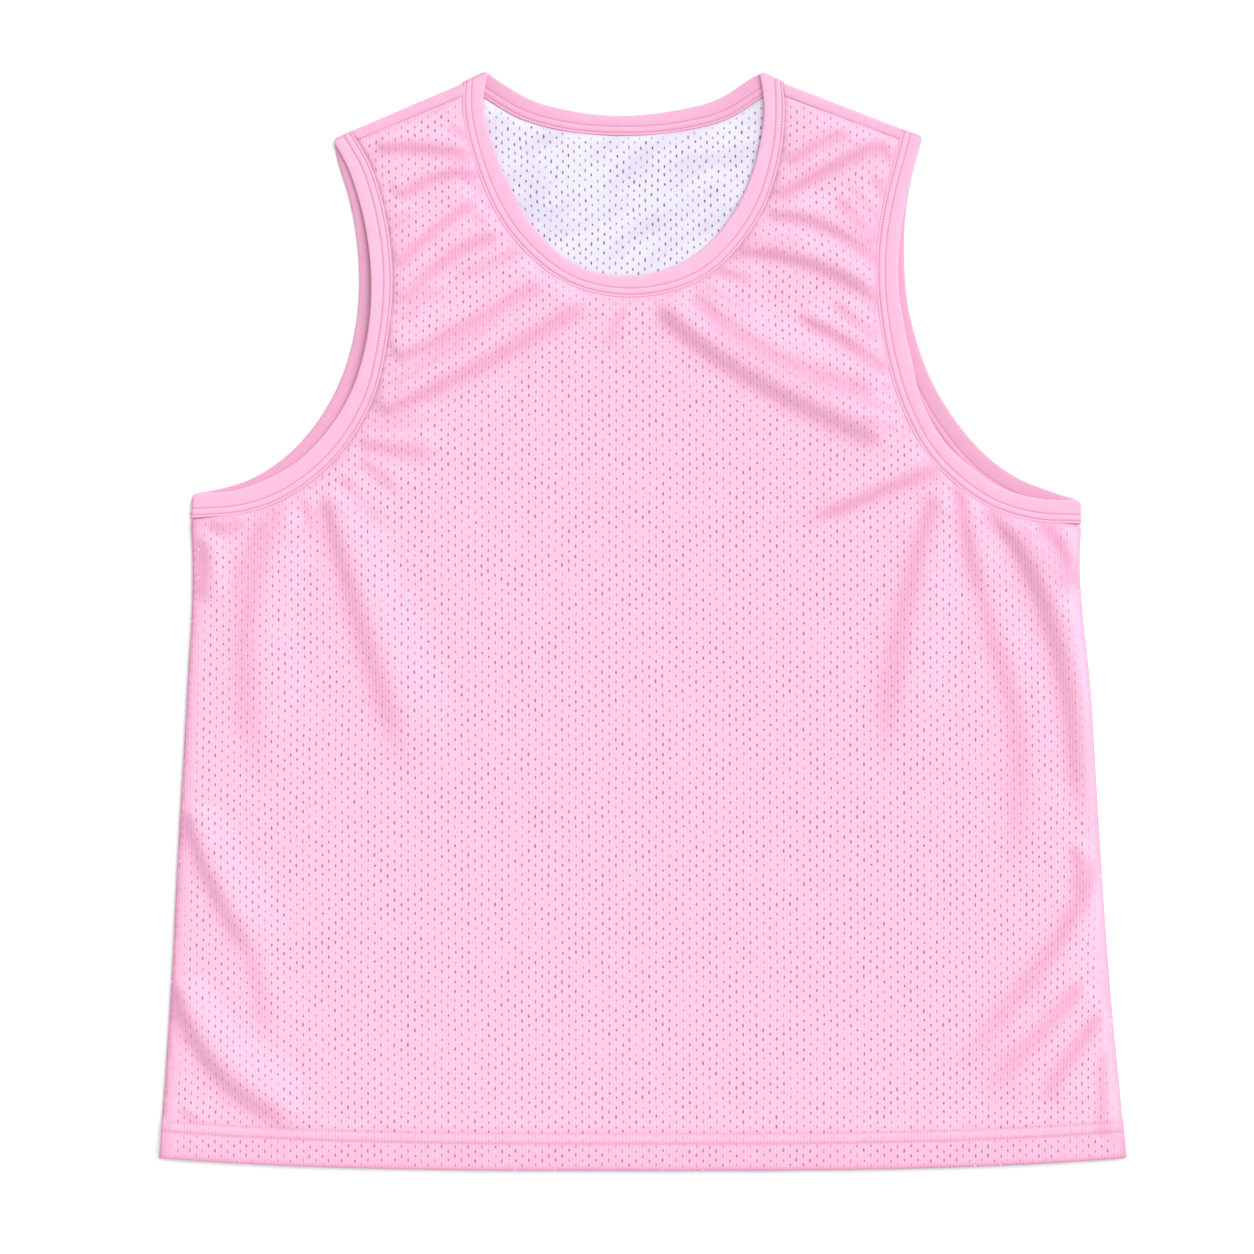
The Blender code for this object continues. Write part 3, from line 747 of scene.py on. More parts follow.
@dataclass
class Shell:
    """A panel's cloth as a thin shell: an upper and a lower face joined round the edge."""

    name: str
    outline: Points
    inner: Points
    top: Height
    under: Height
    cloth: Callable[[Points], Points]
    open_share: Height
    painted_shade: Height
    crease_closes: float = 0.8
    steep_from: float = 0.9
    steep_to: float = 0.8
    merge_within: float = 1e-5

    def make(self, finishes: list[bpy.types.Material]) -> bpy.types.Object:
        """Builds the shell. The first finish is on its upper face, the second on its lower.

        Args:
            finishes: the upper and the lower finish.

        Returns:
            The piece.
        """
        points = np.concatenate((self.outline, self.inner))
        count = len(self.outline)
        ring = list(range(count))
        places, _, faces, *_ = delaunay_2d_cdt(points.tolist(), [], [ring], 1, self.merge_within)
        plan = np.array([(place.x, place.y) for place in places])
        total = len(plan)
        corners = np.concatenate((
            np.column_stack((plan, self.top(plan))),
            np.column_stack((plan, self.under(plan))),
        ))
        upper = [tuple(face) for face in faces]
        lower = [tuple(corner + total for corner in reversed(face)) for face in faces]
        rim = [
            (one, one + total, other + total, other)
            for one, other in ((corner, (corner + 1) % count) for corner in range(count))
        ]
        mesh = new_mesh(self.name, corners, upper + lower + rim, np.tile(self.cloth(plan), (2, 1)))
        number = np.zeros(len(mesh.polygons), int)
        number[len(upper) : len(upper) + len(lower)] = 1
        mesh.polygons.foreach_set("material_index", number)
        self.set_holes_and_shade(mesh, plan)
        return link(self.name, mesh, finishes)

    def set_holes_and_shade(self, mesh: bpy.types.Mesh, plan: Points) -> None:
        """Writes red for how open the holes are, and green for the painted shade.

        Args:
            mesh: the shell's mesh.
            plan: the corners of one face of the shell.
        """
        normals = np.empty(len(mesh.vertices) * 3, np.float32)
        mesh.vertex_normals.foreach_get("vector", normals)
        level = np.abs(normals.reshape(-1, 3)[:, 2])
        steep = ease((self.steep_from - level) / (self.steep_from - self.steep_to))
        # Painted shade, which also closes the holes by the share crease_closes.
        painted_shade = np.tile(self.painted_shade(plan), 2)
        opened = np.tile(self.open_share(plan), 2) * (1.0 - steep)
        opened *= 1.0 - self.crease_closes * painted_shade
        set_colour(mesh, opened, painted_shade)


@dataclass
class FrontPanel:
    """The front: one piece of mesh knit, in soft folds, with its hem turned up inside."""

    name: str = "front_cloth"
    node: str = "front_panel"
    pitch: float = 3.1
    map_pitch: float = 4.0
    wall: float = 1.0
    hem_rows: tuple[float, float] = (17.4, 23.7)
    hem_groove: float = 0.55
    groove_width: float = 0.9
    hem_puff: float = 0.25
    edge_round: float = 1.6
    edge_fall: float = 0.8
    rumple_height: float = 0.35
    rumple_waves: tuple[Relief, ...] = (Relief(55.0, 2.0, 1.0), Relief(24.0, 7.0, 0.6))
    pucker_height: float = 0.75
    pucker_reach: float = 17.0
    pucker_wave: float = 7.5
    pucker_seed: float = 4.0
    pucker_stretch: float = 0.4
    pucker_slant: float = 0.35
    pucker_shade: float = 0.55
    fold_points: int = 25
    end_share: float = 0.65
    open_tail: float = 0.5
    tail_spread: float = 0.8
    tail_weaken: float = 0.45
    fold_narrow: float = 0.5
    # The painted shade in each fold's crease: its width, its shift and its depth.
    crease_width: float = 0.56
    crease_shift: float = 0.15
    deep_fold: float = 3.8
    small_crease: float = 0.6
    broad_fold: float = 14.0
    broad_crease: float = 0.7
    fold_calm: float = 0.8
    fold_soften: float = 1.1
    hem_calm: float = 0.35
    stray: float = 0.45
    stray_wave: float = 26.0
    stray_seeds: tuple[float, float] = (3.0, 9.0)
    side_gather: float = 0.07
    gather_from: float = 150.0
    gather_over: float = 100.0
    map_low: tuple[float, float] = (-330.0, -372.0)
    map_high: tuple[float, float] = (331.0, 369.0)
    # Painted shade along the bound edges, in the puckers, at the side seams, in the hem's rows and
    # at its lower edge; the hem is also drawn darker all over.
    seam_shade: float = 0.45
    seam_shade_reach: float = 2.5
    left_side_shade: float = 0.85
    right_side_shade: float = 0.9
    left_side_reach: float = 5.0
    right_side_reach: float = 2.4
    hem_darker: float = 0.26
    hem_opens: float = 0.25
    hem_row_shades: tuple[float, float] = (0.75, 0.2)
    hem_edge_shade: float = 1.0
    hem_edge_reach: float = 2.4
    hem_edge_closed: float = 4.0
    strip_closes: float = 0.7
    strip_past: float = 1.0
    strip_taper: float = 1.5
    seam_closed: float = 0.5
    seam_taper: float = 2.5
    side_closed: float = 3.0
    side_taper: float = 9.0
    hem_lines: tuple[float, ...] = (0.5, 1.1, 1.8, 3.6, 6.2, 9.0, 12.0, 14.6)
    groove_lines: tuple[float, ...] = (-1.8, -0.9, 0.0, 0.9, 1.8)
    hem_line_clear: float = 0.35
    lattice_clear: float = 0.6
    cut: Cut = field(default_factory=lambda: Cut(
        NECKBAND_FRONT, LEFT_ARMBAND_FRONT, RIGHT_ARMBAND_FRONT,
        tuple((end.front_x, end.front_y) for end in LEFT_STRIP),
        tuple((end.front_x, end.front_y) for end in RIGHT_STRIP),
        0.0,
    ))

    def fold_line(self, fold: Fold) -> Points:
        """Gives points along the middle of a fold's steep side.

        Args:
            fold: the fold.

        Returns:
            The points, which pass through its start, bend and end.
        """
        start, bend, end = (np.array(place, float) for place in (fold.start, fold.bend, fold.end))
        t = np.linspace(0.0, 1.0, self.fold_points)[:, None]
        return (1 - t) * (1 - 2 * t) * start + 4 * t * (1 - t) * bend + t * (2 * t - 1) * end

    def fold_effect(self, points: Points, fold: Fold) -> tuple[np.ndarray, np.ndarray]:
        """Gives what one fold does to the cloth at each point.

        Args:
            points: places on the plan.
            fold: the fold, which narrows towards its two ends.

        Returns:
            How far it lifts the cloth, and how much painted shade its crease gives the place, up
            to 1.
        """
        line = self.fold_line(fold)
        reach = fold.steep + fold.gentle
        low, high = line.min(axis=0) - reach, line.max(axis=0) + reach
        near = np.all((points > low) & (points < high), axis=1)
        rise, painted_shade = np.zeros(len(points)), np.zeros(len(points))
        if near.any():
            far, side, along = nearest(points[near], line)
            head, tail = fold.head * self.end_share, fold.tail * self.end_share
            fade = ease(along / head) * ease((1.0 - along) / tail)
            narrow = self.fold_narrow + (1.0 - self.fold_narrow) * fade
            open_end = min(1.0, fold.tail / self.open_tail)
            spread = 1.0 + self.tail_spread * open_end * along
            across = far * side * fold.crest / (narrow * spread)
            width = fold.steep * self.fold_soften
            steep = ease((across + width / 2) / width)
            gentle = ease(1.0 - (across - width / 2) / fold.gentle)
            rise[near] = fold.height * self.fold_calm * steep * gentle * fade
            # Painted shade in the crease at the foot of the steep side.
            hollow = across / (self.crease_width * fold.steep) + self.crease_shift
            depth = min(1.0, fold.height / self.deep_fold) ** self.small_crease
            depth *= min(1.0, (self.broad_fold / fold.gentle) ** self.broad_crease)
            depth = depth * (1.0 - self.tail_weaken * open_end * along)
            painted_shade[near] = np.exp(-(hollow**2)) * fade * depth
        return rise, painted_shade

    def folds(self, points: Points) -> tuple[np.ndarray, np.ndarray]:
        """Gives the lift and the painted crease shade of all the folds together.

        Args:
            points: places on the plan.

        Returns:
            How far the cloth is lifted, and how much painted shade its creases give, up to 1.
        """
        effects = np.array([self.fold_effect(points, fold) for fold in LARGE_FOLDS + SMALL_FOLDS])
        rise = (effects[:, 0] ** LAY.fold_norm).sum(axis=0) ** (1.0 / LAY.fold_norm)
        return rise, 1.0 - np.prod(1.0 - effects[:, 1], axis=0)

    def edge_ways(self, points: Points) -> tuple[np.ndarray, np.ndarray]:
        """Measures how far each point is from the bound edges, and from the side seams.

        Args:
            points: places on the plan.

        Returns:
            The two distances.
        """
        side_lines = [smooth(side, LAY.straight_pitch) for side in (LEFT_SIDE, RIGHT_SIDE)]
        from_seam = np.min([nearest(points, line)[0] for line in self.cut.bound_edges()], axis=0)
        return from_seam, np.min([nearest(points, line)[0] for line in side_lines], axis=0)

    def height(self, points: Points) -> np.ndarray:
        """Gives the height of the front's outer face, with its folds and its sewn hem.

        Args:
            points: places on the plan.

        Returns:
            The height at each place.
        """
        from_seam, from_side = self.edge_ways(points)
        top = LAY.loft - (LAY.loft - LAY.front_seam) * np.exp(-from_seam / LAY.seam_rise)
        top -= (LAY.loft - LAY.front_side) * np.exp(-from_side / LAY.side_rise)
        top = np.maximum(top, LAY.front_side)
        hem = LAY.hem_share(points)
        top += (np.maximum(top, LAY.loft) - top) * hem
        free = 1.0 - np.exp(-np.minimum(from_seam, from_side) / LAY.fold_rise)
        top += self.folds(points)[0] * free * (1.0 - self.hem_calm * hem)
        top += self.fine_relief(points, from_seam, free) + LAY.stand(points)
        return top + self.hem_relief(points)

    def fine_relief(self, points: Points, from_seam: np.ndarray, free: np.ndarray) -> np.ndarray:
        """Gives the soft rumples all over, and the puckers along the bound edges.

        Args:
            points: places on the plan.
            from_seam: how far each place is from the bound edges.
            free: how free the cloth is to rise there.

        Returns:
            The relief at each place.
        """
        broad = rumples(points, self.rumple_waves)
        close = self.puckers(points)
        near = np.exp(-from_seam / self.pucker_reach)
        return free * (self.rumple_height * broad + self.pucker_height * close * near)

    def puckers(self, points: Points) -> np.ndarray:
        """Gives close slanting crinkles, which run up towards the neck on both sides.

        Args:
            points: places on the plan.

        Returns:
            The relief at each place, from about -1 to 1.
        """
        out = np.abs(points[:, 0])
        slant = np.column_stack((
            out * self.pucker_stretch, points[:, 1] + self.pucker_slant * out,
        ))
        return rumple(slant, self.pucker_wave, self.pucker_seed)

    def hem_relief(self, points: Points) -> np.ndarray:
        """Gives the grooves of the two rows of stitches, and the rounded lower edge.

        Args:
            points: places on the plan.

        Returns:
            The relief at each place.
        """
        above = LAY.above_hem(points)
        low, high = self.hem_rows
        groove = sum(np.exp(-(((above - row) / self.groove_width) ** 2)) for row in (low, high))
        middle, half = (low + high) / 2, (high - low) / 2
        puff = np.clip(1.0 - ((above - middle) / half) ** 2, 0.0, 1.0)
        lower = np.clip(above * (low - above) / (low / 2) ** 2, 0.0, 1.0)
        edge = np.clip(1.0 - above / self.edge_round, 0.0, 1.0)
        drop = self.edge_round * (1.0 - np.sqrt(1.0 - self.edge_fall * edge**2))
        return self.hem_puff * (puff + lower) - self.hem_groove * groove - drop

    def cloth_map(self) -> Callable[[Points], Points]:
        """Works out the cloth's own coordinates from how far it runs over its folds.

        Returns:
            A function that gives a point's place on the knit, across and along it.
        """
        x, y = (
            np.arange(low, high, self.map_pitch) for low, high in zip(self.map_low, self.map_high)
        )
        grid_x, grid_y = np.meshgrid(x, y)
        heights = self.height(np.column_stack((grid_x.ravel(), grid_y.ravel())))
        heights = heights.reshape(grid_x.shape)
        outward = (np.abs(grid_x[:, 1:]) - self.gather_from) / self.gather_over
        gather = 1.0 + self.side_gather * ease(outward)
        run_x = np.hypot(np.diff(heights, axis=1), self.map_pitch) * gather
        run_y = np.hypot(np.diff(heights, axis=0), self.map_pitch)
        across = np.concatenate((np.zeros((len(y), 1)), np.cumsum(run_x, axis=1)), axis=1)
        across -= across[:, [len(x) // 2]]
        along = np.concatenate((np.zeros((1, len(x))), np.cumsum(run_y, axis=0)), axis=0)

        def place(points: Points) -> Points:
            """Reads the two grids between their points.

            Args:
                points: places on the plan.

            Returns:
                The place on the knit, across and along it.
            """
            column = (points[:, 0] - x[0]) / self.map_pitch
            row = (points[:, 1] - y[0]) / self.map_pitch
            c, r = column.astype(int), row.astype(int)
            s, t = column - c, row - r
            read = [
                grid[r, c] * (1 - s) * (1 - t) + grid[r, c + 1] * s * (1 - t)
                + grid[r + 1, c] * (1 - s) * t + grid[r + 1, c + 1] * s * t
                for grid in (across, along)
            ]
            drift = [
                self.stray * rumple(points, self.stray_wave, seed) for seed in self.stray_seeds
            ]
            return np.stack(read, axis=1) + np.stack(drift, axis=1)

        return place

    def painted_shade(self, points: Points) -> np.ndarray:
        """Gives painted shade: in the creases of the folds and the puckers, along the bound edges
        and the side seams, in the hem's rows and at its lower edge, and over the whole hem.

        Args:
            points: places on the plan.

        Returns:
            The painted shade at each place, up to 1.
        """
        from_seam, from_side = self.edge_ways(points)
        # Painted shade along the bound edges and in the puckers.
        seam_and_edge_shade = self.seam_shade * np.exp(-from_seam / self.seam_shade_reach)
        crinkle = np.clip(-self.puckers(points), 0.0, 1.0) * np.exp(-from_seam / self.pucker_reach)
        seam_and_edge_shade += self.pucker_shade * crinkle
        # Painted shade where the cloth rounds down to the side seams, wider on the left.
        on_left = points[:, 0] < 0.0
        side_shade = np.where(on_left, self.left_side_shade, self.right_side_shade)
        reach = np.where(on_left, self.left_side_reach, self.right_side_reach)
        seam_and_edge_shade += side_shade * np.exp(-((from_side / reach) ** 2))
        # The hem drawn darker all over, and painted shade at its lower edge and in its rows.
        above = LAY.above_hem(points)
        seam_and_edge_shade += self.hem_darker * LAY.hem_share(points)
        seam_and_edge_shade += self.hem_edge_shade * np.exp(-((above / self.hem_edge_reach) ** 2))
        for row, depth in zip(self.hem_rows, self.hem_row_shades):
            seam_and_edge_shade += depth * np.exp(-(((above - row) / self.groove_width) ** 2))
        return np.clip(self.folds(points)[1] + seam_and_edge_shade, 0.0, 1.0)

    def open_share(self, points: Points) -> np.ndarray:
        """Gives how open the holes are: less by the side seams and between the hem's rows.

        Args:
            points: places on the plan.

        Returns:
            The share at each place.
        """
        from_seam, from_side = self.edge_ways(points)
        above = LAY.above_hem(points)
        low, high = self.hem_rows
        strip = ease((above - low + self.strip_taper) / self.strip_taper)
        strip *= ease((high + self.strip_past - above) / self.strip_taper)
        edge = ease(above / self.hem_edge_closed)
        edge *= ease((from_seam - self.seam_closed) / self.seam_taper)
        edge *= 1.0 + self.hem_opens * LAY.hem_share(points)
        side = ease((from_side - self.side_closed) / self.side_taper)
        return side * (1.0 - self.strip_closes * strip) * edge

    def inner_points(self, outline: Points) -> Points:
        """Gives the points inside the outline: a lattice, and close rows along the hem.

        Args:
            outline: the panel's outline.

        Returns:
            The points.
        """
        rows = list(self.hem_lines)
        for row in self.hem_rows:
            rows += [row + share * self.groove_width for share in self.groove_lines]
        rows.append(sum(self.hem_rows) / 2)
        x = np.arange(-HEM_CORNER_X, HEM_CORNER_X, self.pitch)
        hem = np.concatenate([np.stack((x, LAY.hem_edge(x) + row), axis=1) for row in rows])
        body = lattice(outline.min(axis=0), outline.max(axis=0), self.pitch)
        body = body[LAY.above_hem(body) > max(rows) + self.lattice_clear * self.pitch]
        return np.concatenate((
            spaced(hem, outline, self.hem_line_clear),
            spaced(body, outline, EDGE_CLEAR * self.pitch),
        ))

    def build(self, finishes: list[bpy.types.Material]) -> bpy.types.Object:
        """Builds the front's cloth.

        Args:
            finishes: the pink outer face and the white inner face.

        Returns:
            The piece.
        """
        outline = self.cut.outline(self.pitch)

        def under(points: Points) -> np.ndarray:
            """Gives the height of the inner face."""
            floor = LAY.back_top + (LAY.hem_wall - LAY.panel_wall) * LAY.hem_share(points)
            wall = self.wall + (LAY.hem_wall - self.wall) * LAY.hem_share(points)
            return np.maximum(self.height(points) - wall, floor + LAY.seam_gap)

        shell = Shell(
            self.name, outline, self.inner_points(outline), self.height, under,
            self.cloth_map(), self.open_share, self.painted_shade,
        )
        made = shell.make(finishes)
        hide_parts(self.node)
        return made


@dataclass
class BackPanel:
    """The back: one piece of the same knit, cut higher at the neck, with its white side up."""

    name: str = "back_cloth"
    node: str = "back_panel"
    pitch: float = 5.5
    wave_height: float = 0.5
    waves: tuple[Relief, ...] = (Relief(38.0, 11.0, 1.0), Relief(16.0, 5.0, 0.5))
    wave_lift: float = 0.6
    # Painted shade for soft hollows that the shape of the inner face does not have.
    hollow: Relief = Relief(11.0, 21.0, 1.7)
    hollow_level: float = 0.35
    hollow_depth: float = 0.5
    neck_low: float = 215.0
    neck_rise: float = 30.0
    neck_half: float = 95.0
    neck_middle: float = -12.0
    slant: Points = field(default_factory=lambda: np.array(((0.30, -0.40), (0.10, 0.85))))
    stray: float = 1.6
    stray_wave: float = 24.0
    stray_seeds: tuple[float, float] = (6.0, 8.0)
    cut: Cut = field(default_factory=lambda: Cut(
        NECKBAND_BACK, LEFT_ARMBAND_BACK, RIGHT_ARMBAND_BACK,
        tuple((end.back_x, end.back_y) for end in LEFT_STRIP),
        tuple((end.back_x, end.back_y) for end in RIGHT_STRIP),
        1.0,
    ))

    def painted_shade(self, points: Points) -> np.ndarray:
        """Gives painted shade for faint hollows of the inner face, which its shape does not have.

        Args:
            points: places on the plan.

        Returns:
            The painted shade at each place, up to hollow_depth.
        """
        hollows = self.hollow_level + rumples(points @ self.slant, (self.hollow,))
        return ease(hollows) * self.hollow_depth

    def top(self, points: Points) -> np.ndarray:
        """Gives the height of the inner face, which waves a little where the neck is open.

        Args:
            points: places on the plan.

        Returns:
            The height at each place.
        """
        level = LAY.back_top + (LAY.hem_wall - LAY.panel_wall) * LAY.hem_share(points)
        across = ease(1.0 - np.abs(points[:, 0] - self.neck_middle) / self.neck_half)
        free = across * ease((points[:, 1] - self.neck_low) / self.neck_rise)
        waves = np.maximum(rumples(points, self.waves) + self.wave_lift, 0.0)
        return level + free * self.wave_height * waves

    def build(self, finishes: list[bpy.types.Material]) -> bpy.types.Object:
        """Builds the back's cloth.

        Args:
            finishes: the white inner face, which is up, and the pink outer face.

        Returns:
            The piece.
        """
        outline = self.cut.outline(self.pitch)
        points = lattice(outline.min(axis=0), outline.max(axis=0), self.pitch)
        points = spaced(points, outline, EDGE_CLEAR * self.pitch)

        def flat(plan: Points) -> np.ndarray:
            """Gives the height of the face that rests on the floor."""
            return np.zeros(len(plan))

        def opened(plan: Points) -> np.ndarray:
            """Gives how open the holes are, which is the same all over."""
            return np.ones(len(plan))

        def cloth(plan: Points) -> Points:
            """Gives the place on the knit, which strays a little from straight columns."""
            drift = [
                self.stray * rumple(plan, self.stray_wave, seed) for seed in self.stray_seeds
            ]
            return plan + np.stack(drift, axis=1)

        shell = Shell(
            self.name, outline, points, self.top, flat, cloth, opened, self.painted_shade,
            crease_closes=0.0,
        )
        made = shell.make(finishes)
        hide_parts(self.node)
        return made


def tube(rings: list[Points], closed: bool) -> tuple[Points, list[tuple[int, ...]]]:
    """Joins rings of corners, each with the same number of them, into a closed skin.

    Args:
        rings: the rings in order.
        closed: whether the last ring joins the first.

    Returns:
        The corners and the faces.
    """
    size, count = len(rings[0]), len(rings)
    faces = []
    for number in range(count if closed else count - 1):
        here, there = number * size, (number + 1) % count * size
        for corner in range(size):
            other = (corner + 1) % size
            faces.append((here + corner, here + other, there + other, there + corner))
    if not closed:
        faces.append(tuple(reversed(range(size))))
        faces.append(tuple(range((count - 1) * size, count * size)))
    return np.concatenate(rings), faces


@dataclass
class Stitching:
    """Rows of short raised stitches of thread."""

    name: str
    length: float = 1.25
    width: float = 0.42
    rise: float = 0.3
    sides: int = 5
    shape: tuple[tuple[float, float], ...] = ((-1.0, 0.35), (-0.55, 1.0), (0.55, 1.0), (1.0, 0.35))
    places: list[Points] = field(default_factory=list)
    forward: list[Points] = field(default_factory=list)
    up: list[Points] = field(default_factory=list)

    def add_row(self, line: Points, up: Points) -> None:
        """Adds a stitch at each point of a line.

        Args:
            line: the stitches' middles.
            up: the way out of the cloth at each.
        """
        self.places.append(line)
        self.forward.append(unit(np.gradient(line, axis=0)))
        self.up.append(up)

    def build(self, finish: bpy.types.Material, slot: Slot) -> bpy.types.Object:
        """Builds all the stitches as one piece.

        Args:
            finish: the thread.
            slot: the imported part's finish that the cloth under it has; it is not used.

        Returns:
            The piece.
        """
        places, forward, up = (np.concatenate(one) for one in (self.places, self.forward, self.up))
        beside = np.cross(up, forward)
        sides, local = self.sides, []
        for share, thick in self.shape:
            for side in range(sides):
                angle = 2 * math.pi * side / sides
                local.append((share, math.cos(angle) * thick, math.sin(angle) * thick))
        local = np.array(local) * (self.length / 2, self.width / 2, self.rise / 2)
        corners = (
            places[:, None, :]
            + local[None, :, [0]] * forward[:, None, :]
            + local[None, :, [1]] * beside[:, None, :]
            + local[None, :, [2]] * up[:, None, :]
        )
        one = []
        for ring in range(len(self.shape) - 1):
            for side in range(sides):
                other = (side + 1) % sides
                here, there = ring * sides, (ring + 1) * sides
                one.append((here + side, there + side, there + other, here + other))
        one.append(tuple(range(sides)))
        one.append(tuple(reversed(range(len(local) - sides, len(local)))))
        faces = [
            tuple(corner + stitch * len(local) for corner in face)
            for stitch in range(len(places)) for face in one
        ]
        on_thread = np.tile(local[:, :2], (len(places), 1))
        mesh = new_mesh(self.name, corners.reshape(-1, 3), faces, on_thread)
        made = link(self.name, mesh, [finish])
        return made


@dataclass
class Binding:
    """A rib knit binding round an opening, sewn on with two rows that raise a stripe."""

    name: str
    node: str
    front: tuple[Section, ...]
    back: tuple[Section, ...]
    pitch: float = 2.0
    stitch_pitch: float = 1.7
    turn_steps: int = 9
    corner_radius: float = 3.2
    corner_fall: float = 0.96
    # Painted shade on the back run, from its middle to its tips, and on its folds.
    back_shade: tuple[float, float] = (0.6, 0.75)
    turn_shade: float = 0.5
    stitch_bed: float = 3.0
    stitch_rows: tuple[float, float] = (1.95, 6.1)
    profile: tuple[Rise, ...] = (
        Rise(0.0, -0.32), Rise(0.15, -0.14), Rise(0.45, 0.02), Rise(0.95, 0.12), Rise(1.45, 0.0),
        Rise(1.75, -0.26), Rise(1.95, -0.32), Rise(2.15, -0.26), Rise(2.5, 0.0),
        Rise(3.1, 0.16), Rise(4.0, 0.22), Rise(4.9, 0.16), Rise(5.5, 0.0), Rise(5.85, -0.26),
        Rise(6.1, -0.32), Rise(6.35, -0.26), Rise(6.8, -0.04), Rise(7.6, 0.08),
    )
    free_profile: tuple[Rise, ...] = (
        Rise(0.0, -0.72), Rise(0.12, -0.3), Rise(0.4, -0.06), Rise(0.9, 0.1), Rise(1.8, 0.2),
        Rise(3.2, 0.24),
    )

    def ring(self, free: Points, sewn: Points, middle: float, normal: Points) -> Points:
        """Makes one section of the binding.

        Args:
            free: its free edge on the plan.
            sewn: its sewn edge on the plan.
            middle: its height.
            normal: the way out of its outer face.

        Returns:
            Its corners, from the sewn edge over the outer face and back under.
        """
        sewn, free = np.append(sewn, middle), np.append(free, middle)
        across = free - sewn
        width = np.linalg.norm(across)
        across /= width
        half = LAY.band_wall / 2
        over = [(rise.from_sewn, half + rise.relief) for rise in self.profile]
        over += [
            (width - rise.from_sewn, half + rise.relief) for rise in reversed(self.free_profile)
        ]
        outline = over + [(along, -up) for along, up in reversed(over)]
        made = np.array([sewn + across * along + normal * up for along, up in outline])
        made[:, 2] = np.maximum(made[:, 2], 0.0)
        return made

    def rounding(self, way: np.ndarray) -> np.ndarray:
        """Gives how far an edge draws in at this distance from the outside of a fold."""
        short = np.clip(1.0 - way / self.corner_radius, 0.0, 1.0)
        return self.corner_radius * (1.0 - np.sqrt(1.0 - self.corner_fall * short**2))

    def draw_in(self, section: Points, draw: float) -> Points:
        """Gives a section's free edge, moved towards its sewn edge."""
        way = section[2:] - section[:2]
        return section[:2] + way / np.linalg.norm(way) * draw

    def sewn_on_left(self) -> bool:
        """Tells whether the sewn edge is on the left as the front's sections run on."""
        one, two = self.front[0], self.front[1]
        run_x, run_y = two.free_x - one.free_x, two.free_y - one.free_y
        return run_x * (two.sewn_y - two.free_y) - run_y * (two.sewn_x - two.free_x) > 0

    def build(self, finish: bpy.types.Material) -> bpy.types.Object:
        """Builds the binding's cloth.

        Args:
            finish: its rib knit.

        Returns:
            The piece.
        """
        axis = (LAY.front_band + LAY.back_band) / 2
        reach = LAY.turn_radius + LAY.band_wall / 2
        rings, along, shades = [], [], []
        for rows, way in ((self.front, 1.0), (self.back, -1.0)):
            run = LAY.flat_run(rows, self.pitch)
            shades += self.shades(len(run), way)
            middle = axis + way * LAY.turn_radius
            place = self.pitch * np.arange(len(run))
            from_fold = np.minimum(place, place[::-1]) + reach
            for section, draw in zip(run, self.rounding(from_fold)):
                free = self.draw_in(section, draw)
                ring = self.ring(free, section[2:], middle, np.array((0.0, 0.0, way)))
                if way > 0:
                    ring[:, 2] += LAY.stand(ring[:, :2])
                rings.append(ring)
                along.append(self.pitch)
            out = LAY.fold_way(np.array(rows[-1], float), np.array(rows[-2], float))
            for step in range(1, self.turn_steps + 1):
                angle = math.pi * step / (self.turn_steps + 1)
                shift = LAY.turn_radius * math.sin(angle) * out
                draw = float(self.rounding(reach * (1.0 - math.sin(angle))))
                free, sewn = self.draw_in(run[-1], draw), run[-1][2:]
                normal = np.append(out * math.sin(angle), way * math.cos(angle))
                height = axis + way * LAY.turn_radius * math.cos(angle)
                rings.append(self.ring(free + shift, sewn + shift, height, normal))
                along.append(math.pi * LAY.turn_radius / (self.turn_steps + 1))
        if not self.sewn_on_left():
            rings.reverse()
            along.reverse()
            shades.reverse()
        corners, faces = tube(rings, True)
        mesh = new_mesh(self.name, corners, faces, self.band_map(rings, np.cumsum(along)))
        # Green is the painted shade of each section.
        set_colour(mesh, np.ones(len(corners)), np.repeat(shades, len(rings[0])))
        made = link(self.name, mesh, [finish])
        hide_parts(self.node)
        return made

    def shades(self, count: int, way: float) -> list[float]:
        """Gives how much each section lies in shade, along one run and the fold after it.

        Args:
            count: the number of sections of the run.
            way: 1 for the front's run, which is lit, and -1 for the back's.

        Returns:
            A share for each section of the run and of the fold.
        """
        middle, tips = self.back_shade
        from_middle = np.abs(np.linspace(-1.0, 1.0, count))
        run = middle + (tips - middle) * from_middle**2
        return list(run * (way < 0)) + [self.turn_shade * tips] * self.turn_steps

    def band_map(self, rings: list[Points], along: np.ndarray) -> Points:
        """Gives each corner's way along the binding, and its distance from the sewn edge.

        Args:
            rings: the binding's sections.
            along: each section's way along it.

        Returns:
            The pair for each corner.
        """
        made = []
        for ring, place in zip(rings, along):
            half = len(ring) // 2
            edge = (ring[0] + ring[-1]) / 2
            across = (ring[half - 1] + ring[half]) / 2 - edge
            across /= np.linalg.norm(across)
            made.append(np.column_stack((np.full(len(ring), place), (ring - edge) @ across)))
        return np.concatenate(made)

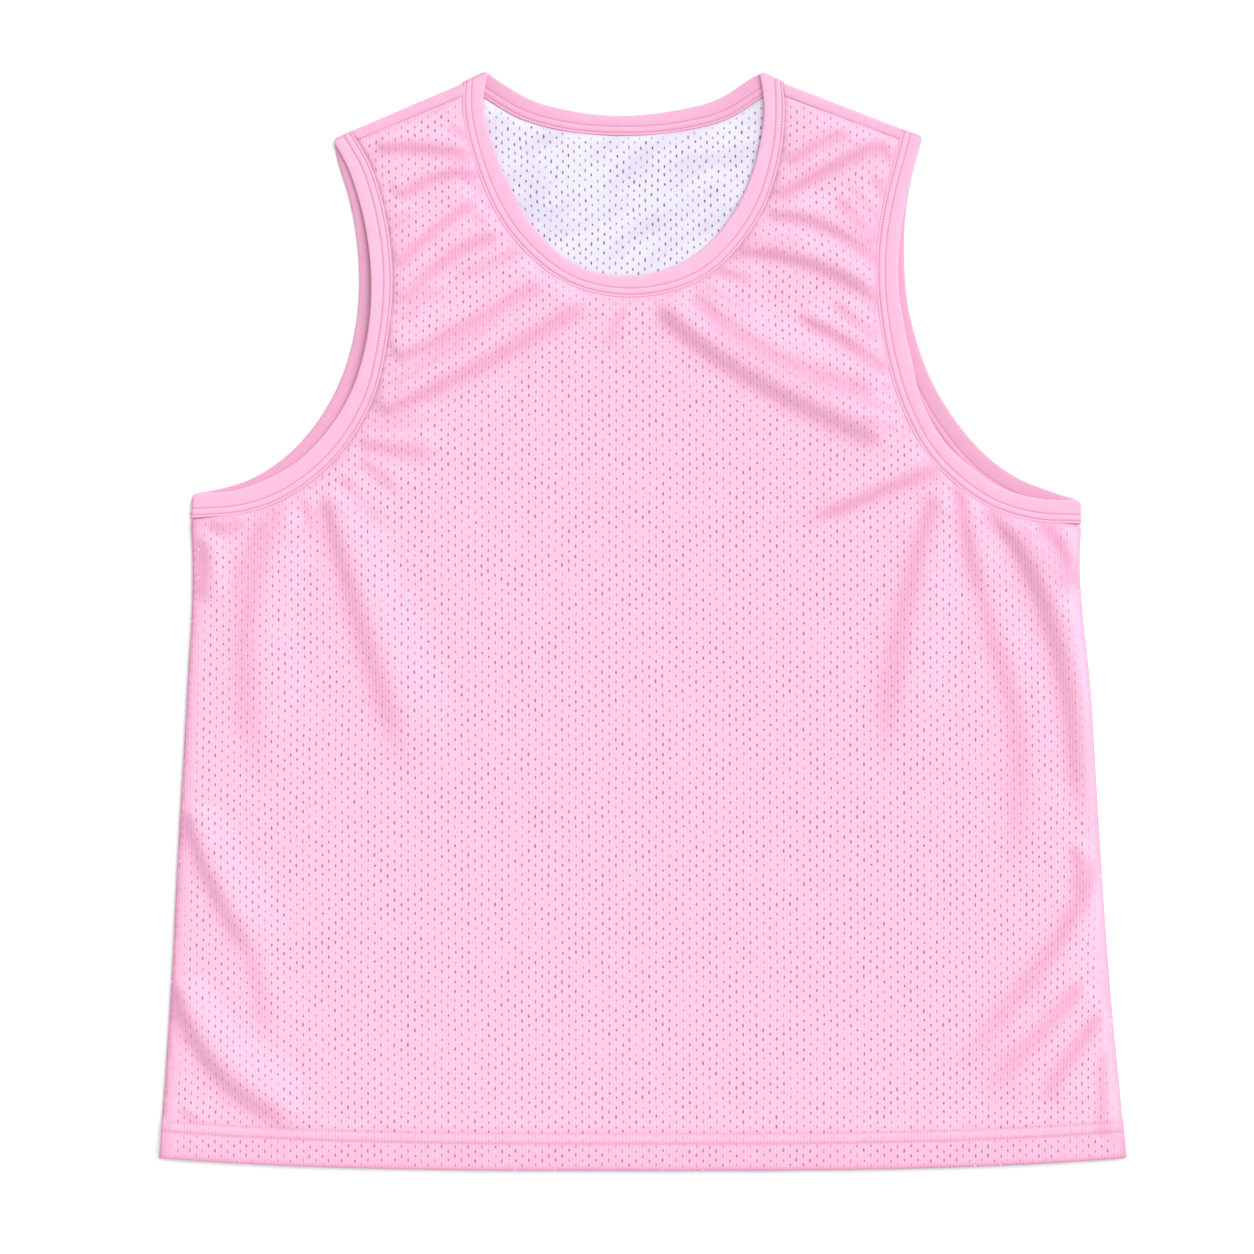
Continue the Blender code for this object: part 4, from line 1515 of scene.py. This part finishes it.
    def stitches(self, finish: bpy.types.Material) -> bpy.types.Object:
        """Builds the two rows of stitches, on the faces that are upward.

        Args:
            finish: the thread.

        Returns:
            The piece.
        """
        rows = Stitching(self.name + "_stitches")
        sunk = min(rise.relief for rise in self.profile[1:])
        for sections, middle in ((self.front, LAY.front_band), (self.back, LAY.back_band)):
            run = LAY.flat_run(sections, self.stitch_pitch)
            across = unit(run[:, :2] - run[:, 2:])
            bed = middle + LAY.band_wall / 2 + sunk + rows.rise / self.stitch_bed
            for row in self.stitch_rows:
                plan = run[:, 2:] + across * row
                height = np.full(len(plan), bed)
                if sections is self.front:
                    height += LAY.stand(plan)
                up = np.tile((0.0, 0.0, 1.0), (len(plan), 1))
                rows.add_row(np.column_stack((plan, height)), up)
        return rows.build(finish, Slot.RIB_KNIT)

    def flat(self) -> tuple[float, float]:
        """Gives the length of its middle line, all round, and its mean width."""
        runs = [LAY.flat_run(rows, LAY.band_pitch) for rows in (self.front, self.back)]
        length = sum(
            float(np.linalg.norm(np.diff(run[:, :2] + run[:, 2:], axis=0), axis=1).sum()) / 2
            for run in runs
        )
        widths = [np.linalg.norm(run[:, :2] - run[:, 2:], axis=1).mean() for run in runs]
        return length, float(np.mean(widths))


@dataclass
class ShoulderStrip:
    """The smooth tape over a shoulder seam, folded over the shoulder's top edge."""

    name: str
    node: str
    ends: tuple[StripEnd, StripEnd]
    pitch: float = 2.5
    turn_steps: int = 7
    leg_steps: int = 4
    puff: float = 0.4
    puff_start: float = 0.08
    tuck: float = 1.2
    flat: tuple[float, float] = (80.0, 19.0)

    def ring(self, fold: Points, front: Points, back: Points, inward: Points) -> Points:
        """Makes one section: a leg on the front, a turn, and a leg on the back.

        Args:
            fold: where it folds, on the plan.
            front: where it is sewn to the front.
            back: where it is sewn to the back.
            inward: the level way from the fold into the garment.

        Returns:
            Its corners, over the outer side and back along the inner one.
        """
        half = LAY.panel_wall / 2
        radius = (LAY.front_seam - 2 * half) / 2
        axis = fold + inward * (radius + half)
        faces = []
        for size in (radius + half, radius - half):
            side = []
            puff = self.puff if size > radius else 0.0
            for share in np.linspace(0.0, 1.0, self.leg_steps + 1)[:-1]:
                rounded = self.puff_start + (1.0 - self.puff_start) * share
                height = half + radius + size + puff * math.sin(math.pi * rounded)
                side.append(np.append(front + (axis - front) * share, height))
            for step in range(self.turn_steps + 2):
                angle = math.pi * step / (self.turn_steps + 1)
                level = axis - inward * size * math.sin(angle)
                side.append(np.append(level, half + radius + size * math.cos(angle)))
            for share in np.linspace(0.0, 1.0, self.leg_steps + 1)[1:]:
                side.append(np.append(axis + (back - axis) * share, half + radius - size))
            faces.append(side)
        return np.array(faces[0] + faces[1][::-1])

    def build(self, finish: bpy.types.Material) -> bpy.types.Object:
        """Builds the strip.

        Args:
            finish: its tape.

        Returns:
            The piece.
        """
        neck, arm = (np.array(end, float) for end in self.ends)
        run = arm[:2] - neck[:2]
        length = np.linalg.norm(run)
        inward = np.array((run[1], -run[0])) / length
        if inward[1] > 0:
            inward = -inward
        rings, places = [], []
        over = self.tuck / length
        for share in np.linspace(-over, 1.0 + over, round(length / self.pitch) + 1):
            place = neck + (arm - neck) * share
            ring = self.ring(place[:2], place[2:4], place[4:], inward)
            rings.append(ring)
            way = np.linalg.norm(ring[:, :2] - place[:2], axis=1)
            places.append(np.column_stack((np.full(len(ring), share * length), way)))
        if run[0] > 0:
            rings.reverse()
            places.reverse()
        corners, faces = tube(rings, False)
        mesh = new_mesh(self.name, corners, faces, np.concatenate(places))
        made = link(self.name, mesh, [finish])
        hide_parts(self.node)
        return made


def linear(colour: str) -> tuple[float, float, float, float]:
    """Turns an sRGB hex colour to linear red, green, blue and alpha."""
    parts = [int(colour[place : place + 2], 16) / 255 for place in (1, 3, 5)]
    return (*(c / 12.92 if c <= 0.04045 else ((c + 0.055) / 1.055) ** 2.4 for c in parts), 1.0)


MATH = "ShaderNodeMath"
RANGE = "ShaderNodeMapRange"
NOISE = "ShaderNodeTexNoise"
MIX = "ShaderNodeMix"
COMBINE = "ShaderNodeCombineXYZ"
MIX_COLOUR = 2


def add(
    tree: bpy.types.NodeTree, kind: str, feeds: tuple | dict = (), **settings: object,
) -> bpy.types.Node:
    """Adds a node with its settings, and feeds its sockets.

    Args:
        tree: the material's nodes.
        kind: the node's kind.
        feeds: what each socket takes, by place or by name: a node's first output, a socket,
            a value, or None to leave it.
        settings: the node's own properties.

    Returns:
        The node.
    """
    node = tree.nodes.new(kind)
    for name, value in settings.items():
        setattr(node, name, value)
    for key, value in feeds.items() if isinstance(feeds, dict) else enumerate(feeds):
        source = value.outputs[0] if isinstance(value, bpy.types.Node) else value
        if isinstance(source, bpy.types.NodeSocket):
            tree.links.new(source, node.inputs[key])
        elif source is not None:
            node.inputs[key].default_value = source
    return node


def new_material(name: str) -> tuple[bpy.types.Material, bpy.types.NodeTree, bpy.types.Node]:
    """Makes an empty material with a Principled shader.

    Args:
        name: the material's name.

    Returns:
        The material, its nodes and its shader.
    """
    made = bpy.data.materials.new(name)
    made.use_nodes = True
    return made, made.node_tree, made.node_tree.nodes["Principled BSDF"]


class Net(NamedTuple):
    """The net of holes at each place: columns counted across, chances, and way to a hole."""

    columns: bpy.types.Node
    chances: bpy.types.Node
    far: bpy.types.NodeSocket


@dataclass(frozen=True)
class MeshKnitFinish:
    """Polyester mesh, warp knitted with staggered rows of small long holes.

    The knitting leaves a fine upright rib on each side of a column of holes. To the eye it is
    a soft matt cloth with neat dotted columns, whose dots shrink and vanish where it slopes.
    Each dot is drawn in a dark colour that is painted shadow, the shade seen through the holes,
    and the cloth is mixed towards a deeper colour that is painted shade in creases and hollows,
    along seams and at edges.
    The yarn is about 0.3 mm thick, too fine to show, so its unevenness is drawn coarser.
    """

    name: str
    pale: str
    deep: str
    # The colour of painted shade, in creases and hollows, along seams and at edges.
    painted_shade: str
    # The colour of painted shadow in each of the holes: the shade seen through them.
    shaded_hole: str
    speck: str
    column_mm: float = 4.35
    row_mm: float = 6.28
    hole_width_mm: float = 1.35
    hole_length_mm: float = 2.3
    hole_depth_mm: float = 0.2
    hole_rim: tuple[float, float] = (0.55, 1.25)
    hole_half_length: tuple[float, float] = (0.36, 0.66)
    hole_strength: tuple[float, float] = (0.55, 0.95)
    strength_chance: float = 0.75
    shift_across: tuple[float, float] = (-0.56, -0.44)
    shift_along: tuple[float, float] = (-0.58, -0.42)
    patch_mm: float = 18.0
    patch_noise: tuple[float, float] = (0.32, 0.55)
    patch_strength: tuple[float, float] = (0.72, 1.0)
    speck_chance: tuple[float, float] = (0.84, 0.86)
    speck_rim: tuple[float, float] = (0.35, 0.8)
    ribs_per_column: int = 2
    rib_height_mm: float = 0.025
    rib_share: float = 0.22
    yarn_mm: float = 1.25
    yarn_stretch: float = 0.22
    yarn_share: float = 0.85
    cloud_mm: float = 10.0
    cloud_share: float = 0.35
    # How unevenly the painted shade is mixed in, following the cloth's tone.
    crease_shade: tuple[float, float] = (0.3, 0.75)
    crease_share: tuple[float, float] = (1.35, 0.8)
    roughness: float = 0.9
    sheen: float = 0.04

    def make(self) -> bpy.types.Material:
        """Makes the material."""
        made, tree, shader = new_material(self.name)
        cloth = add(tree, "ShaderNodeUVMap", uv_map=KNIT_MAP)
        holes_and_painted_shade = add(tree, "ShaderNodeAttribute", attribute_name=HOLES_AND_SHADE)
        how = add(tree, "ShaderNodeSeparateColor", (holes_and_painted_shade.outputs[0],))
        # Red is how open the holes are; green is the painted shade.
        opened, painted_shade_share = how.outputs[0], how.outputs[1]
        net = self.net(tree, cloth)
        shaded_hole = self.hole_share(tree, cloth, net, opened)
        angle = 2 * math.pi * self.ribs_per_column
        turn = add(tree, MATH, (net.columns, angle), operation="MULTIPLY")
        rib = add(tree, MATH, (turn,), operation="COSINE")
        grain = (1.0, self.yarn_stretch, 1.0)
        stretch = add(tree, "ShaderNodeVectorMath", (cloth, grain), operation="MULTIPLY")
        yarn = add(
            tree, NOISE, {"Vector": stretch, "Scale": 1 / (self.yarn_mm * MM), "Detail": 2.0}
        )
        tone = self.tone(tree, cloth, rib, yarn, painted_shade_share)
        specked = self.specked(tree, net, tone, painted_shade_share)
        # Painted shadow: the holes are drawn in the hole colour, for the shade seen through them.
        holed = add(
            tree, MIX, {0: shaded_hole, 6: specked.outputs[MIX_COLOUR], 7: linear(self.shaded_hole)},
            data_type="RGBA",
        )
        sunk = add(tree, MATH, (shaded_hole, -self.hole_depth_mm, 0.0), operation="MULTIPLY_ADD")
        ribbed = add(tree, MATH, (rib, -self.rib_height_mm, sunk), operation="MULTIPLY_ADD")
        relief = add(tree, MATH, (yarn, self.rib_height_mm, ribbed), operation="MULTIPLY_ADD")
        bump = add(tree, "ShaderNodeBump", {"Height": relief, "Distance": MM})
        tree.links.new(holed.outputs[MIX_COLOUR], shader.inputs["Base Color"])
        tree.links.new(bump.outputs[0], shader.inputs["Normal"])
        shader.inputs["Roughness"].default_value = self.roughness
        shader.inputs["Sheen Weight"].default_value = self.sheen
        return made

    def net(self, tree: bpy.types.NodeTree, cloth: bpy.types.Node) -> Net:
        """Lays out the staggered net of holes, each of them a little off its place.

        Args:
            tree: the material's nodes.
            cloth: the cloth's own coordinates.

        Returns:
            The net at each place.
        """
        axes = add(tree, "ShaderNodeSeparateXYZ", (cloth,))
        columns = add(tree, MATH, (axes.outputs[0], self.column_mm * MM), operation="DIVIDE")
        rows = add(tree, MATH, (axes.outputs[1], self.row_mm * MM), operation="DIVIDE")
        column = add(tree, MATH, (columns,), operation="FLOOR")
        odd = add(tree, MATH, (column, 2.0), operation="FLOORED_MODULO")
        staggered = add(tree, MATH, (odd, 0.5, rows), operation="MULTIPLY_ADD")
        row = add(tree, MATH, (staggered,), operation="FLOOR")
        cell = add(tree, COMBINE, (column, row))
        chance = add(tree, "ShaderNodeTexWhiteNoise", (cell,), noise_dimensions="2D")
        chances = add(tree, "ShaderNodeSeparateColor", (chance.outputs[1],))
        across = add(tree, MATH, (columns, column), operation="SUBTRACT")
        along = add(tree, MATH, (staggered, row), operation="SUBTRACT")
        aside = add(tree, RANGE, (chances.outputs[0], 0.0, 1.0, *self.shift_across))
        upward = add(tree, RANGE, (chances.outputs[1], 0.0, 1.0, *self.shift_along))
        off_x = add(tree, MATH, (across, aside), operation="ADD")
        off_y = add(tree, MATH, (along, upward), operation="ADD")
        half_widths = 2 * self.column_mm / self.hole_width_mm
        wide = add(tree, MATH, (off_x, half_widths), operation="MULTIPLY")
        half_length = add(tree, RANGE, (chance, 0.0, 1.0, *self.hole_half_length))
        lengths = self.row_mm / self.hole_length_mm
        share_y = add(tree, MATH, (off_y, lengths), operation="MULTIPLY")
        tall = add(tree, MATH, (share_y, half_length), operation="DIVIDE")
        spot = add(tree, COMBINE, (wide, tall))
        far = add(tree, "ShaderNodeVectorMath", (spot,), operation="LENGTH")
        return Net(columns, chances, far.outputs[1])

    def hole_share(
        self, tree: bpy.types.NodeTree, cloth: bpy.types.Node, net: Net,
        opened: bpy.types.NodeSocket,
    ) -> bpy.types.Node:
        """Gives how much of a place lies in one of the holes, which get painted shadow: less in
        some patches, and in some of the holes.

        Args:
            tree: the material's nodes.
            cloth: the cloth's own coordinates.
            net: the net of holes.
            opened: how open the holes are as the cloth lies.

        Returns:
            The share.
        """
        inside_hole = add(
            tree, RANGE, (net.far, *self.hole_rim, 1.0, 0.0), interpolation_type="SMOOTHSTEP"
        )
        patchy = add(
            tree, NOISE, {"Vector": cloth, "Scale": 1 / (self.patch_mm * MM), "Detail": 1.0}
        )
        patch = add(tree, RANGE, (patchy, *self.patch_noise, *self.patch_strength))
        each = add(
            tree, RANGE, (net.chances.outputs[2], 0.0, self.strength_chance, *self.hole_strength)
        )
        strength = add(tree, MATH, (each, patch), operation="MULTIPLY")
        open_share = add(tree, MATH, (strength, opened), operation="MULTIPLY")
        return add(tree, MATH, (inside_hole, open_share), operation="MULTIPLY")

    def tone(
        self, tree: bpy.types.NodeTree, cloth: bpy.types.Node, rib: bpy.types.Node,
        yarn: bpy.types.Node, painted_shade_share: bpy.types.NodeSocket,
    ) -> bpy.types.Node:
        """Mixes the cloth's colour between its holes, and mixes painted shade into it.

        Args:
            tree: the material's nodes.
            cloth: the cloth's own coordinates.
            rib: the upright ribs.
            yarn: the yarn's unevenness.
            painted_shade_share: how much painted shade the cloth gets.

        Returns:
            The colour's node.
        """
        cloud = add(
            tree, NOISE, {"Vector": cloth, "Scale": 1 / (self.cloud_mm * MM), "Detail": 2.0}
        )
        from_rib = add(tree, MATH, (rib, -self.rib_share, 0.0), operation="MULTIPLY_ADD")
        from_yarn = add(tree, MATH, (yarn, self.yarn_share, from_rib), operation="MULTIPLY_ADD")
        shade = add(tree, MATH, (cloud, self.cloud_share, from_yarn), operation="MULTIPLY_ADD")
        level = add(
            tree, MIX, {0: shade, 6: linear(self.deep), 7: linear(self.pale)}, data_type="RGBA"
        )
        # Painted shade: the tone is mixed towards the shade colour, more where the tone is deeper.
        broken = add(tree, RANGE, (shade, *self.crease_shade, *self.crease_share))
        hollow = add(tree, MATH, (painted_shade_share, broken), operation="MULTIPLY", use_clamp=True)
        return add(
            tree, MIX, {0: hollow, 6: level.outputs[MIX_COLOUR], 7: linear(self.painted_shade)},
            data_type="RGBA",
        )

    def specked(
        self, tree: bpy.types.NodeTree, net: Net, tone: bpy.types.Node,
        painted_shade_share: bpy.types.NodeSocket,
    ) -> bpy.types.Node:
        """Mixes in the few holes, where painted shade lies, through which the other side's
        light colour shows.

        Args:
            tree: the material's nodes.
            net: the net of holes.
            tone: the cloth's colour.
            painted_shade_share: how much painted shade the cloth gets.

        Returns:
            The colour's node.
        """
        rare = add(tree, RANGE, (net.chances.outputs[0], *self.speck_chance, 0.0, 1.0))
        dot = add(tree, RANGE, (net.far, *self.speck_rim, 1.0, 0.0))
        steep_dot = add(tree, MATH, (rare, painted_shade_share), operation="MULTIPLY")
        speck = add(tree, MATH, (steep_dot, dot), operation="MULTIPLY")
        return add(
            tree, MIX, {0: speck, 6: tone.outputs[MIX_COLOUR], 7: linear(self.speck)},
            data_type="RGBA",
        )


@dataclass(frozen=True)
class RibKnitFinish:
    """Polyester rib knit, cut across its ribs and folded lengthwise into a binding.

    The fine ribs run across the band. To the eye it is smoother and a little deeper in colour
    than the mesh, with a faint close line pattern, and two dark dotted lines where it is sewn.
    These lines, and the line along the seam, are painted shade in their grooves.
    The ribs are about 1 mm apart, too fine to show, so they are drawn coarser, as is the yarn.
    """

    name: str
    pale: str
    deep: str
    # The colour of painted shade in the seam line and the stitch grooves.
    sewn: str
    # The colour of painted shade on a binding's back run and folds.
    shade: str
    rib_mm: float = 1.9
    rib_height_mm: float = 0.035
    rib_share: float = 0.16
    yarn_mm: float = 0.5
    yarn_share: float = 0.3
    cloud_share: float = 0.7
    rows_mm: tuple[float, ...] = ()
    row_width_mm: float = 0.55
    row_core: float = 0.3
    dot_mm: float = 1.7
    dot_gap: float = 0.55
    cloud_mm: float = 9.0
    roughness: float = 0.75
    sheen: float = 0.1

    def make(self) -> bpy.types.Material:
        """Makes the material."""
        made, tree, shader = new_material(self.name)
        cloth = add(tree, "ShaderNodeUVMap", uv_map=KNIT_MAP)
        axes = add(tree, "ShaderNodeSeparateXYZ", (cloth,))
        rib_turns, dot_turns = (2 * math.pi / (size * MM) for size in (self.rib_mm, self.dot_mm))
        turn = add(tree, MATH, (axes.outputs[0], rib_turns), operation="MULTIPLY")
        rib = add(tree, MATH, (turn,), operation="COSINE")
        cloud = add(
            tree, NOISE, {"Vector": cloth, "Scale": 1 / (self.cloud_mm * MM), "Detail": 3.0}
        )
        yarn = add(tree, NOISE, {"Vector": cloth, "Scale": 1 / (self.yarn_mm * MM), "Detail": 1.0})
        from_rib = add(tree, MATH, (rib, self.rib_share, 0.0), operation="MULTIPLY_ADD")
        from_yarn = add(tree, MATH, (yarn, self.yarn_share, from_rib), operation="MULTIPLY_ADD")
        shade = add(tree, MATH, (cloud, self.cloud_share, from_yarn), operation="MULTIPLY_ADD")
        tone = add(
            tree, MIX, {0: shade, 6: linear(self.deep), 7: linear(self.pale)}, data_type="RGBA"
        )
        # Painted shade: a binding's back run, under the front's run, and its folds are mixed
        # towards the shade colour.
        holes_and_painted_shade = add(tree, "ShaderNodeAttribute", attribute_name=HOLES_AND_SHADE)
        how = add(tree, "ShaderNodeSeparateColor", (holes_and_painted_shade.outputs[0],))
        tone = add(
            tree, MIX, {0: how.outputs[1], 6: tone.outputs[MIX_COLOUR], 7: linear(self.shade)},
            data_type="RGBA",
        )
        dots = add(tree, MATH, (axes.outputs[0], dot_turns), operation="MULTIPLY")
        dotted = add(tree, MATH, (dots,), operation="COSINE")
        share = add(tree, RANGE, (dotted, -1.0, 1.0, self.dot_gap, 1.0))
        colour = tone.outputs[MIX_COLOUR]
        # Painted shade: each listed row, along the seam and in the stitch grooves, is drawn darker
        # in dots.
        for row in self.rows_mm:
            off = add(tree, MATH, (axes.outputs[1], row * MM), operation="SUBTRACT")
            size = add(tree, MATH, (off,), operation="ABSOLUTE")
            core, edge = self.row_core * self.row_width_mm * MM, self.row_width_mm * MM
            line = add(
                tree, RANGE, (size, core, edge, 1.0, 0.0), interpolation_type="SMOOTHSTEP"
            )
            mark = add(tree, MATH, (line, share), operation="MULTIPLY")
            mixed = add(tree, MIX, {0: mark, 6: colour, 7: linear(self.sewn)}, data_type="RGBA")
            colour = mixed.outputs[MIX_COLOUR]
        ribbed = add(tree, MATH, (rib, self.rib_height_mm, 0.0), operation="MULTIPLY_ADD")
        relief = add(tree, MATH, (yarn, self.rib_height_mm, ribbed), operation="MULTIPLY_ADD")
        bump = add(tree, "ShaderNodeBump", {"Height": relief, "Distance": MM})
        tree.links.new(colour, shader.inputs["Base Color"])
        tree.links.new(bump.outputs[0], shader.inputs["Normal"])
        shader.inputs["Roughness"].default_value = self.roughness
        shader.inputs["Sheen Weight"].default_value = self.sheen
        return made


@dataclass(frozen=True)
class ThreadFinish:
    """Spun polyester thread, twisted from fine strands.

    To the eye each stitch is a small smooth grain with a slight slant of strands across it.
    A strand is about 0.15 mm, too fine to show, so it is drawn coarser.
    """

    name: str
    pale: str
    deep: str
    strand_mm: float = 0.35
    roughness: float = 0.6

    def make(self) -> bpy.types.Material:
        """Makes the material."""
        made, tree, shader = new_material(self.name)
        cloth = add(tree, "ShaderNodeUVMap", uv_map=KNIT_MAP)
        axes = add(tree, "ShaderNodeSeparateXYZ", (cloth,))
        slant = add(tree, MATH, (axes.outputs[0], axes.outputs[1]), operation="ADD")
        turn = add(tree, MATH, (slant, 2 * math.pi / (self.strand_mm * MM)), operation="MULTIPLY")
        strand = add(tree, MATH, (turn,), operation="COSINE")
        share = add(tree, RANGE, (strand, -1.0, 1.0, 0.0, 1.0))
        tone = add(
            tree, MIX, {0: share, 6: linear(self.deep), 7: linear(self.pale)}, data_type="RGBA"
        )
        tree.links.new(tone.outputs[MIX_COLOUR], shader.inputs["Base Color"])
        shader.inputs["Roughness"].default_value = self.roughness
        return made


@dataclass(frozen=True)
class PaintedBoardFinish:
    """A board painted matt white with a roller.

    To the eye it is a plain pale ground with the faintest unevenness.
    """

    name: str = "painted_board"
    pale: str = "#fcfcfc"
    deep: str = "#f7f7f8"
    nap_mm: float = 30.0
    roughness: float = 0.9

    def make(self) -> bpy.types.Material:
        """Makes the material."""
        made, tree, shader = new_material(self.name)
        place = add(tree, "ShaderNodeTexCoord")
        nap = add(tree, NOISE, {"Vector": place.outputs[3], "Scale": 1 / (self.nap_mm * MM)})
        tone = add(
            tree, MIX, {0: nap, 6: linear(self.deep), 7: linear(self.pale)}, data_type="RGBA"
        )
        tree.links.new(tone.outputs[MIX_COLOUR], shader.inputs["Base Color"])
        shader.inputs["Roughness"].default_value = self.roughness
        return made


@dataclass
class Studio:
    """A pale floor, a broad soft key light from the upper right, and an even fill.

    The floor is so wide that its far edge stays out of a low view, and it lies a hair below
    the jersey's underside.
    """

    middle_x: float = -10.4
    middle_y: float = -3.9
    view_width: float = 815.1
    lens: float = 100.0
    sensor: float = 36.0
    key_way: float = 42.0
    key_lift: float = 46.0
    key_strength: float = 2.45
    key_spread: float = 58.0
    key_away: float = 3.0
    fill_strength: float = 0.72
    floor_half: float = 20000.0
    floor_drop: float = 0.05

    def build(self) -> None:
        """Builds the camera, the lights and the floor."""
        scene = bpy.context.scene
        data = bpy.data.cameras.new("camera")
        data.lens, data.sensor_width = self.lens, self.sensor
        camera = bpy.data.objects.new("camera", data)
        away = self.view_width * self.lens / self.sensor
        camera.location = (self.middle_x * MM, self.middle_y * MM, away * MM)
        scene.collection.objects.link(camera)
        scene.camera = camera
        sun = bpy.data.lights.new("key", "SUN")
        sun.energy, sun.angle = self.key_strength, math.radians(self.key_spread)
        key = bpy.data.objects.new("key", sun)
        way, lift = math.radians(self.key_way), math.radians(self.key_lift)
        back = Vector((
            math.cos(way) * math.cos(lift), math.sin(way) * math.cos(lift), math.sin(lift),
        ))
        key.rotation_euler = back.to_track_quat("Z", "Y").to_euler()
        key.location = back * self.key_away
        scene.collection.objects.link(key)
        world = bpy.data.worlds.new("fill")
        scene.world = world
        world.use_nodes = True
        sky = world.node_tree.nodes["Background"]
        sky.inputs["Color"].default_value = linear("#ffffff")
        sky.inputs["Strength"].default_value = self.fill_strength
        self.build_floor()
        scene.view_settings.view_transform = "Standard"

    def build_floor(self) -> None:
        """Builds the floor, just under the jersey."""
        half = self.floor_half * MM
        mesh = bpy.data.meshes.new("floor")
        corners = [(-half, -half, 0.0), (half, -half, 0.0), (half, half, 0.0), (-half, half, 0.0)]
        mesh.from_pydata(corners, [], [(0, 1, 2, 3)])
        mesh.materials.append(PaintedBoardFinish().make())
        floor = bpy.data.objects.new("floor", mesh)
        floor.location.z = -self.floor_drop * MM
        bpy.context.scene.collection.objects.link(floor)


@dataclass
class HemStitches:
    """The two rows of stitches that hold up the front's hem."""

    name: str = "hem_stitches"
    length: float = 2.0
    width: float = 0.4
    pitch: float = 2.7
    side_clear: float = 3.0
    stitch_bed: float = 6.0

    def build(self, front: FrontPanel, finish: bpy.types.Material) -> bpy.types.Object:
        """Builds the rows.

        Args:
            front: the front, whose face they lie on.
            finish: the thread.

        Returns:
            The piece.
        """
        rows = Stitching(self.name, length=self.length, width=self.width)
        reach = HEM_CORNER_X - self.side_clear
        x = np.arange(-reach, reach, self.pitch)
        for row in front.hem_rows:
            plan = np.stack((x, LAY.hem_edge(x) + row), axis=1)
            line = np.column_stack((plan, front.height(plan) + rows.rise / self.stitch_bed))
            ahead = unit(np.gradient(line, axis=0))
            rows.add_row(line, np.cross(ahead, (0.0, 1.0, 0.0)))
        return rows.build(finish, Slot.MESH_KNIT)


def main() -> None:
    """Builds the jersey and its studio, and logs each piece's faces and each binding's size."""
    logging.basicConfig(level=logging.INFO, format="%(message)s")
    # The crease colours are painted shade, and the hole colours painted shadow in the holes.
    pink = MeshKnitFinish(
        "polyester_mesh_pink_face", pale="#f0bfd6", deep="#e8adc9", painted_shade="#e29dbe",
        shaded_hole="#bd5389", speck="#f4e4ee",
    ).make()
    white = MeshKnitFinish(
        "polyester_mesh_white_reverse", pale="#dfdee8", deep="#d5d0e2", painted_shade="#cbc3dc",
        shaded_hole="#7c2f5f", speck="#e6e4ee", column_mm=3.9, hole_width_mm=1.2, rib_share=0.03,
        rib_height_mm=0.0, yarn_share=0.3, cloud_mm=22.0, cloud_share=0.8,
    ).make()
    rib = RibKnitFinish(
        "polyester_rib_binding", pale="#efb7d2", deep="#e6a6c6", sewn="#d0829f",
        shade="#d391b0", rows_mm=(0.0, *Binding.stitch_rows),
    ).make()
    tape = RibKnitFinish(
        "polyester_knit_tape", pale="#eeb0cc", deep="#e29aba", sewn="#d48bae",
        shade="#d49ab8", rib_mm=2.6, rib_share=0.06, yarn_share=0.6, cloud_share=0.6,
        cloud_mm=5.0,
    ).make()
    thread = ThreadFinish("spun_polyester_thread", "#f0b6d0", "#e096b9").make()

    front = FrontPanel()
    front_cloth = front.build([pink, white])
    hem = HemStitches().build(front, thread)
    back = BackPanel()
    back_cloth = back.build([white, pink])
    bindings = (
        Binding(
            "neckband_rib", "neckband", NECKBAND_FRONT, NECKBAND_BACK, back_shade=(0.2, 0.7)
        ),
        Binding("armband_left_rib", "armband_left", LEFT_ARMBAND_FRONT, LEFT_ARMBAND_BACK),
        Binding("armband_right_rib", "armband_right", RIGHT_ARMBAND_FRONT, RIGHT_ARMBAND_BACK),
    )
    for binding in bindings:
        cloth = binding.build(rib)
        stitches = binding.stitches(thread)
        flat = binding.flat()
        log.info("%s: %.0f mm long, %.1f mm wide", binding.name, *flat)
    for name, node, ends in (
        ("shoulder_strip_left_tape", "shoulder_strip_left", LEFT_STRIP),
        ("shoulder_strip_right_tape", "shoulder_strip_right", RIGHT_STRIP),
    ):
        strip = ShoulderStrip(name, node, ends)
        strip.build(tape)
    front_plan, back_plan = front.cut.outline(front.pitch), back.cut.outline(back.pitch)
    Studio().build()


if __name__ == "__main__":
    main()
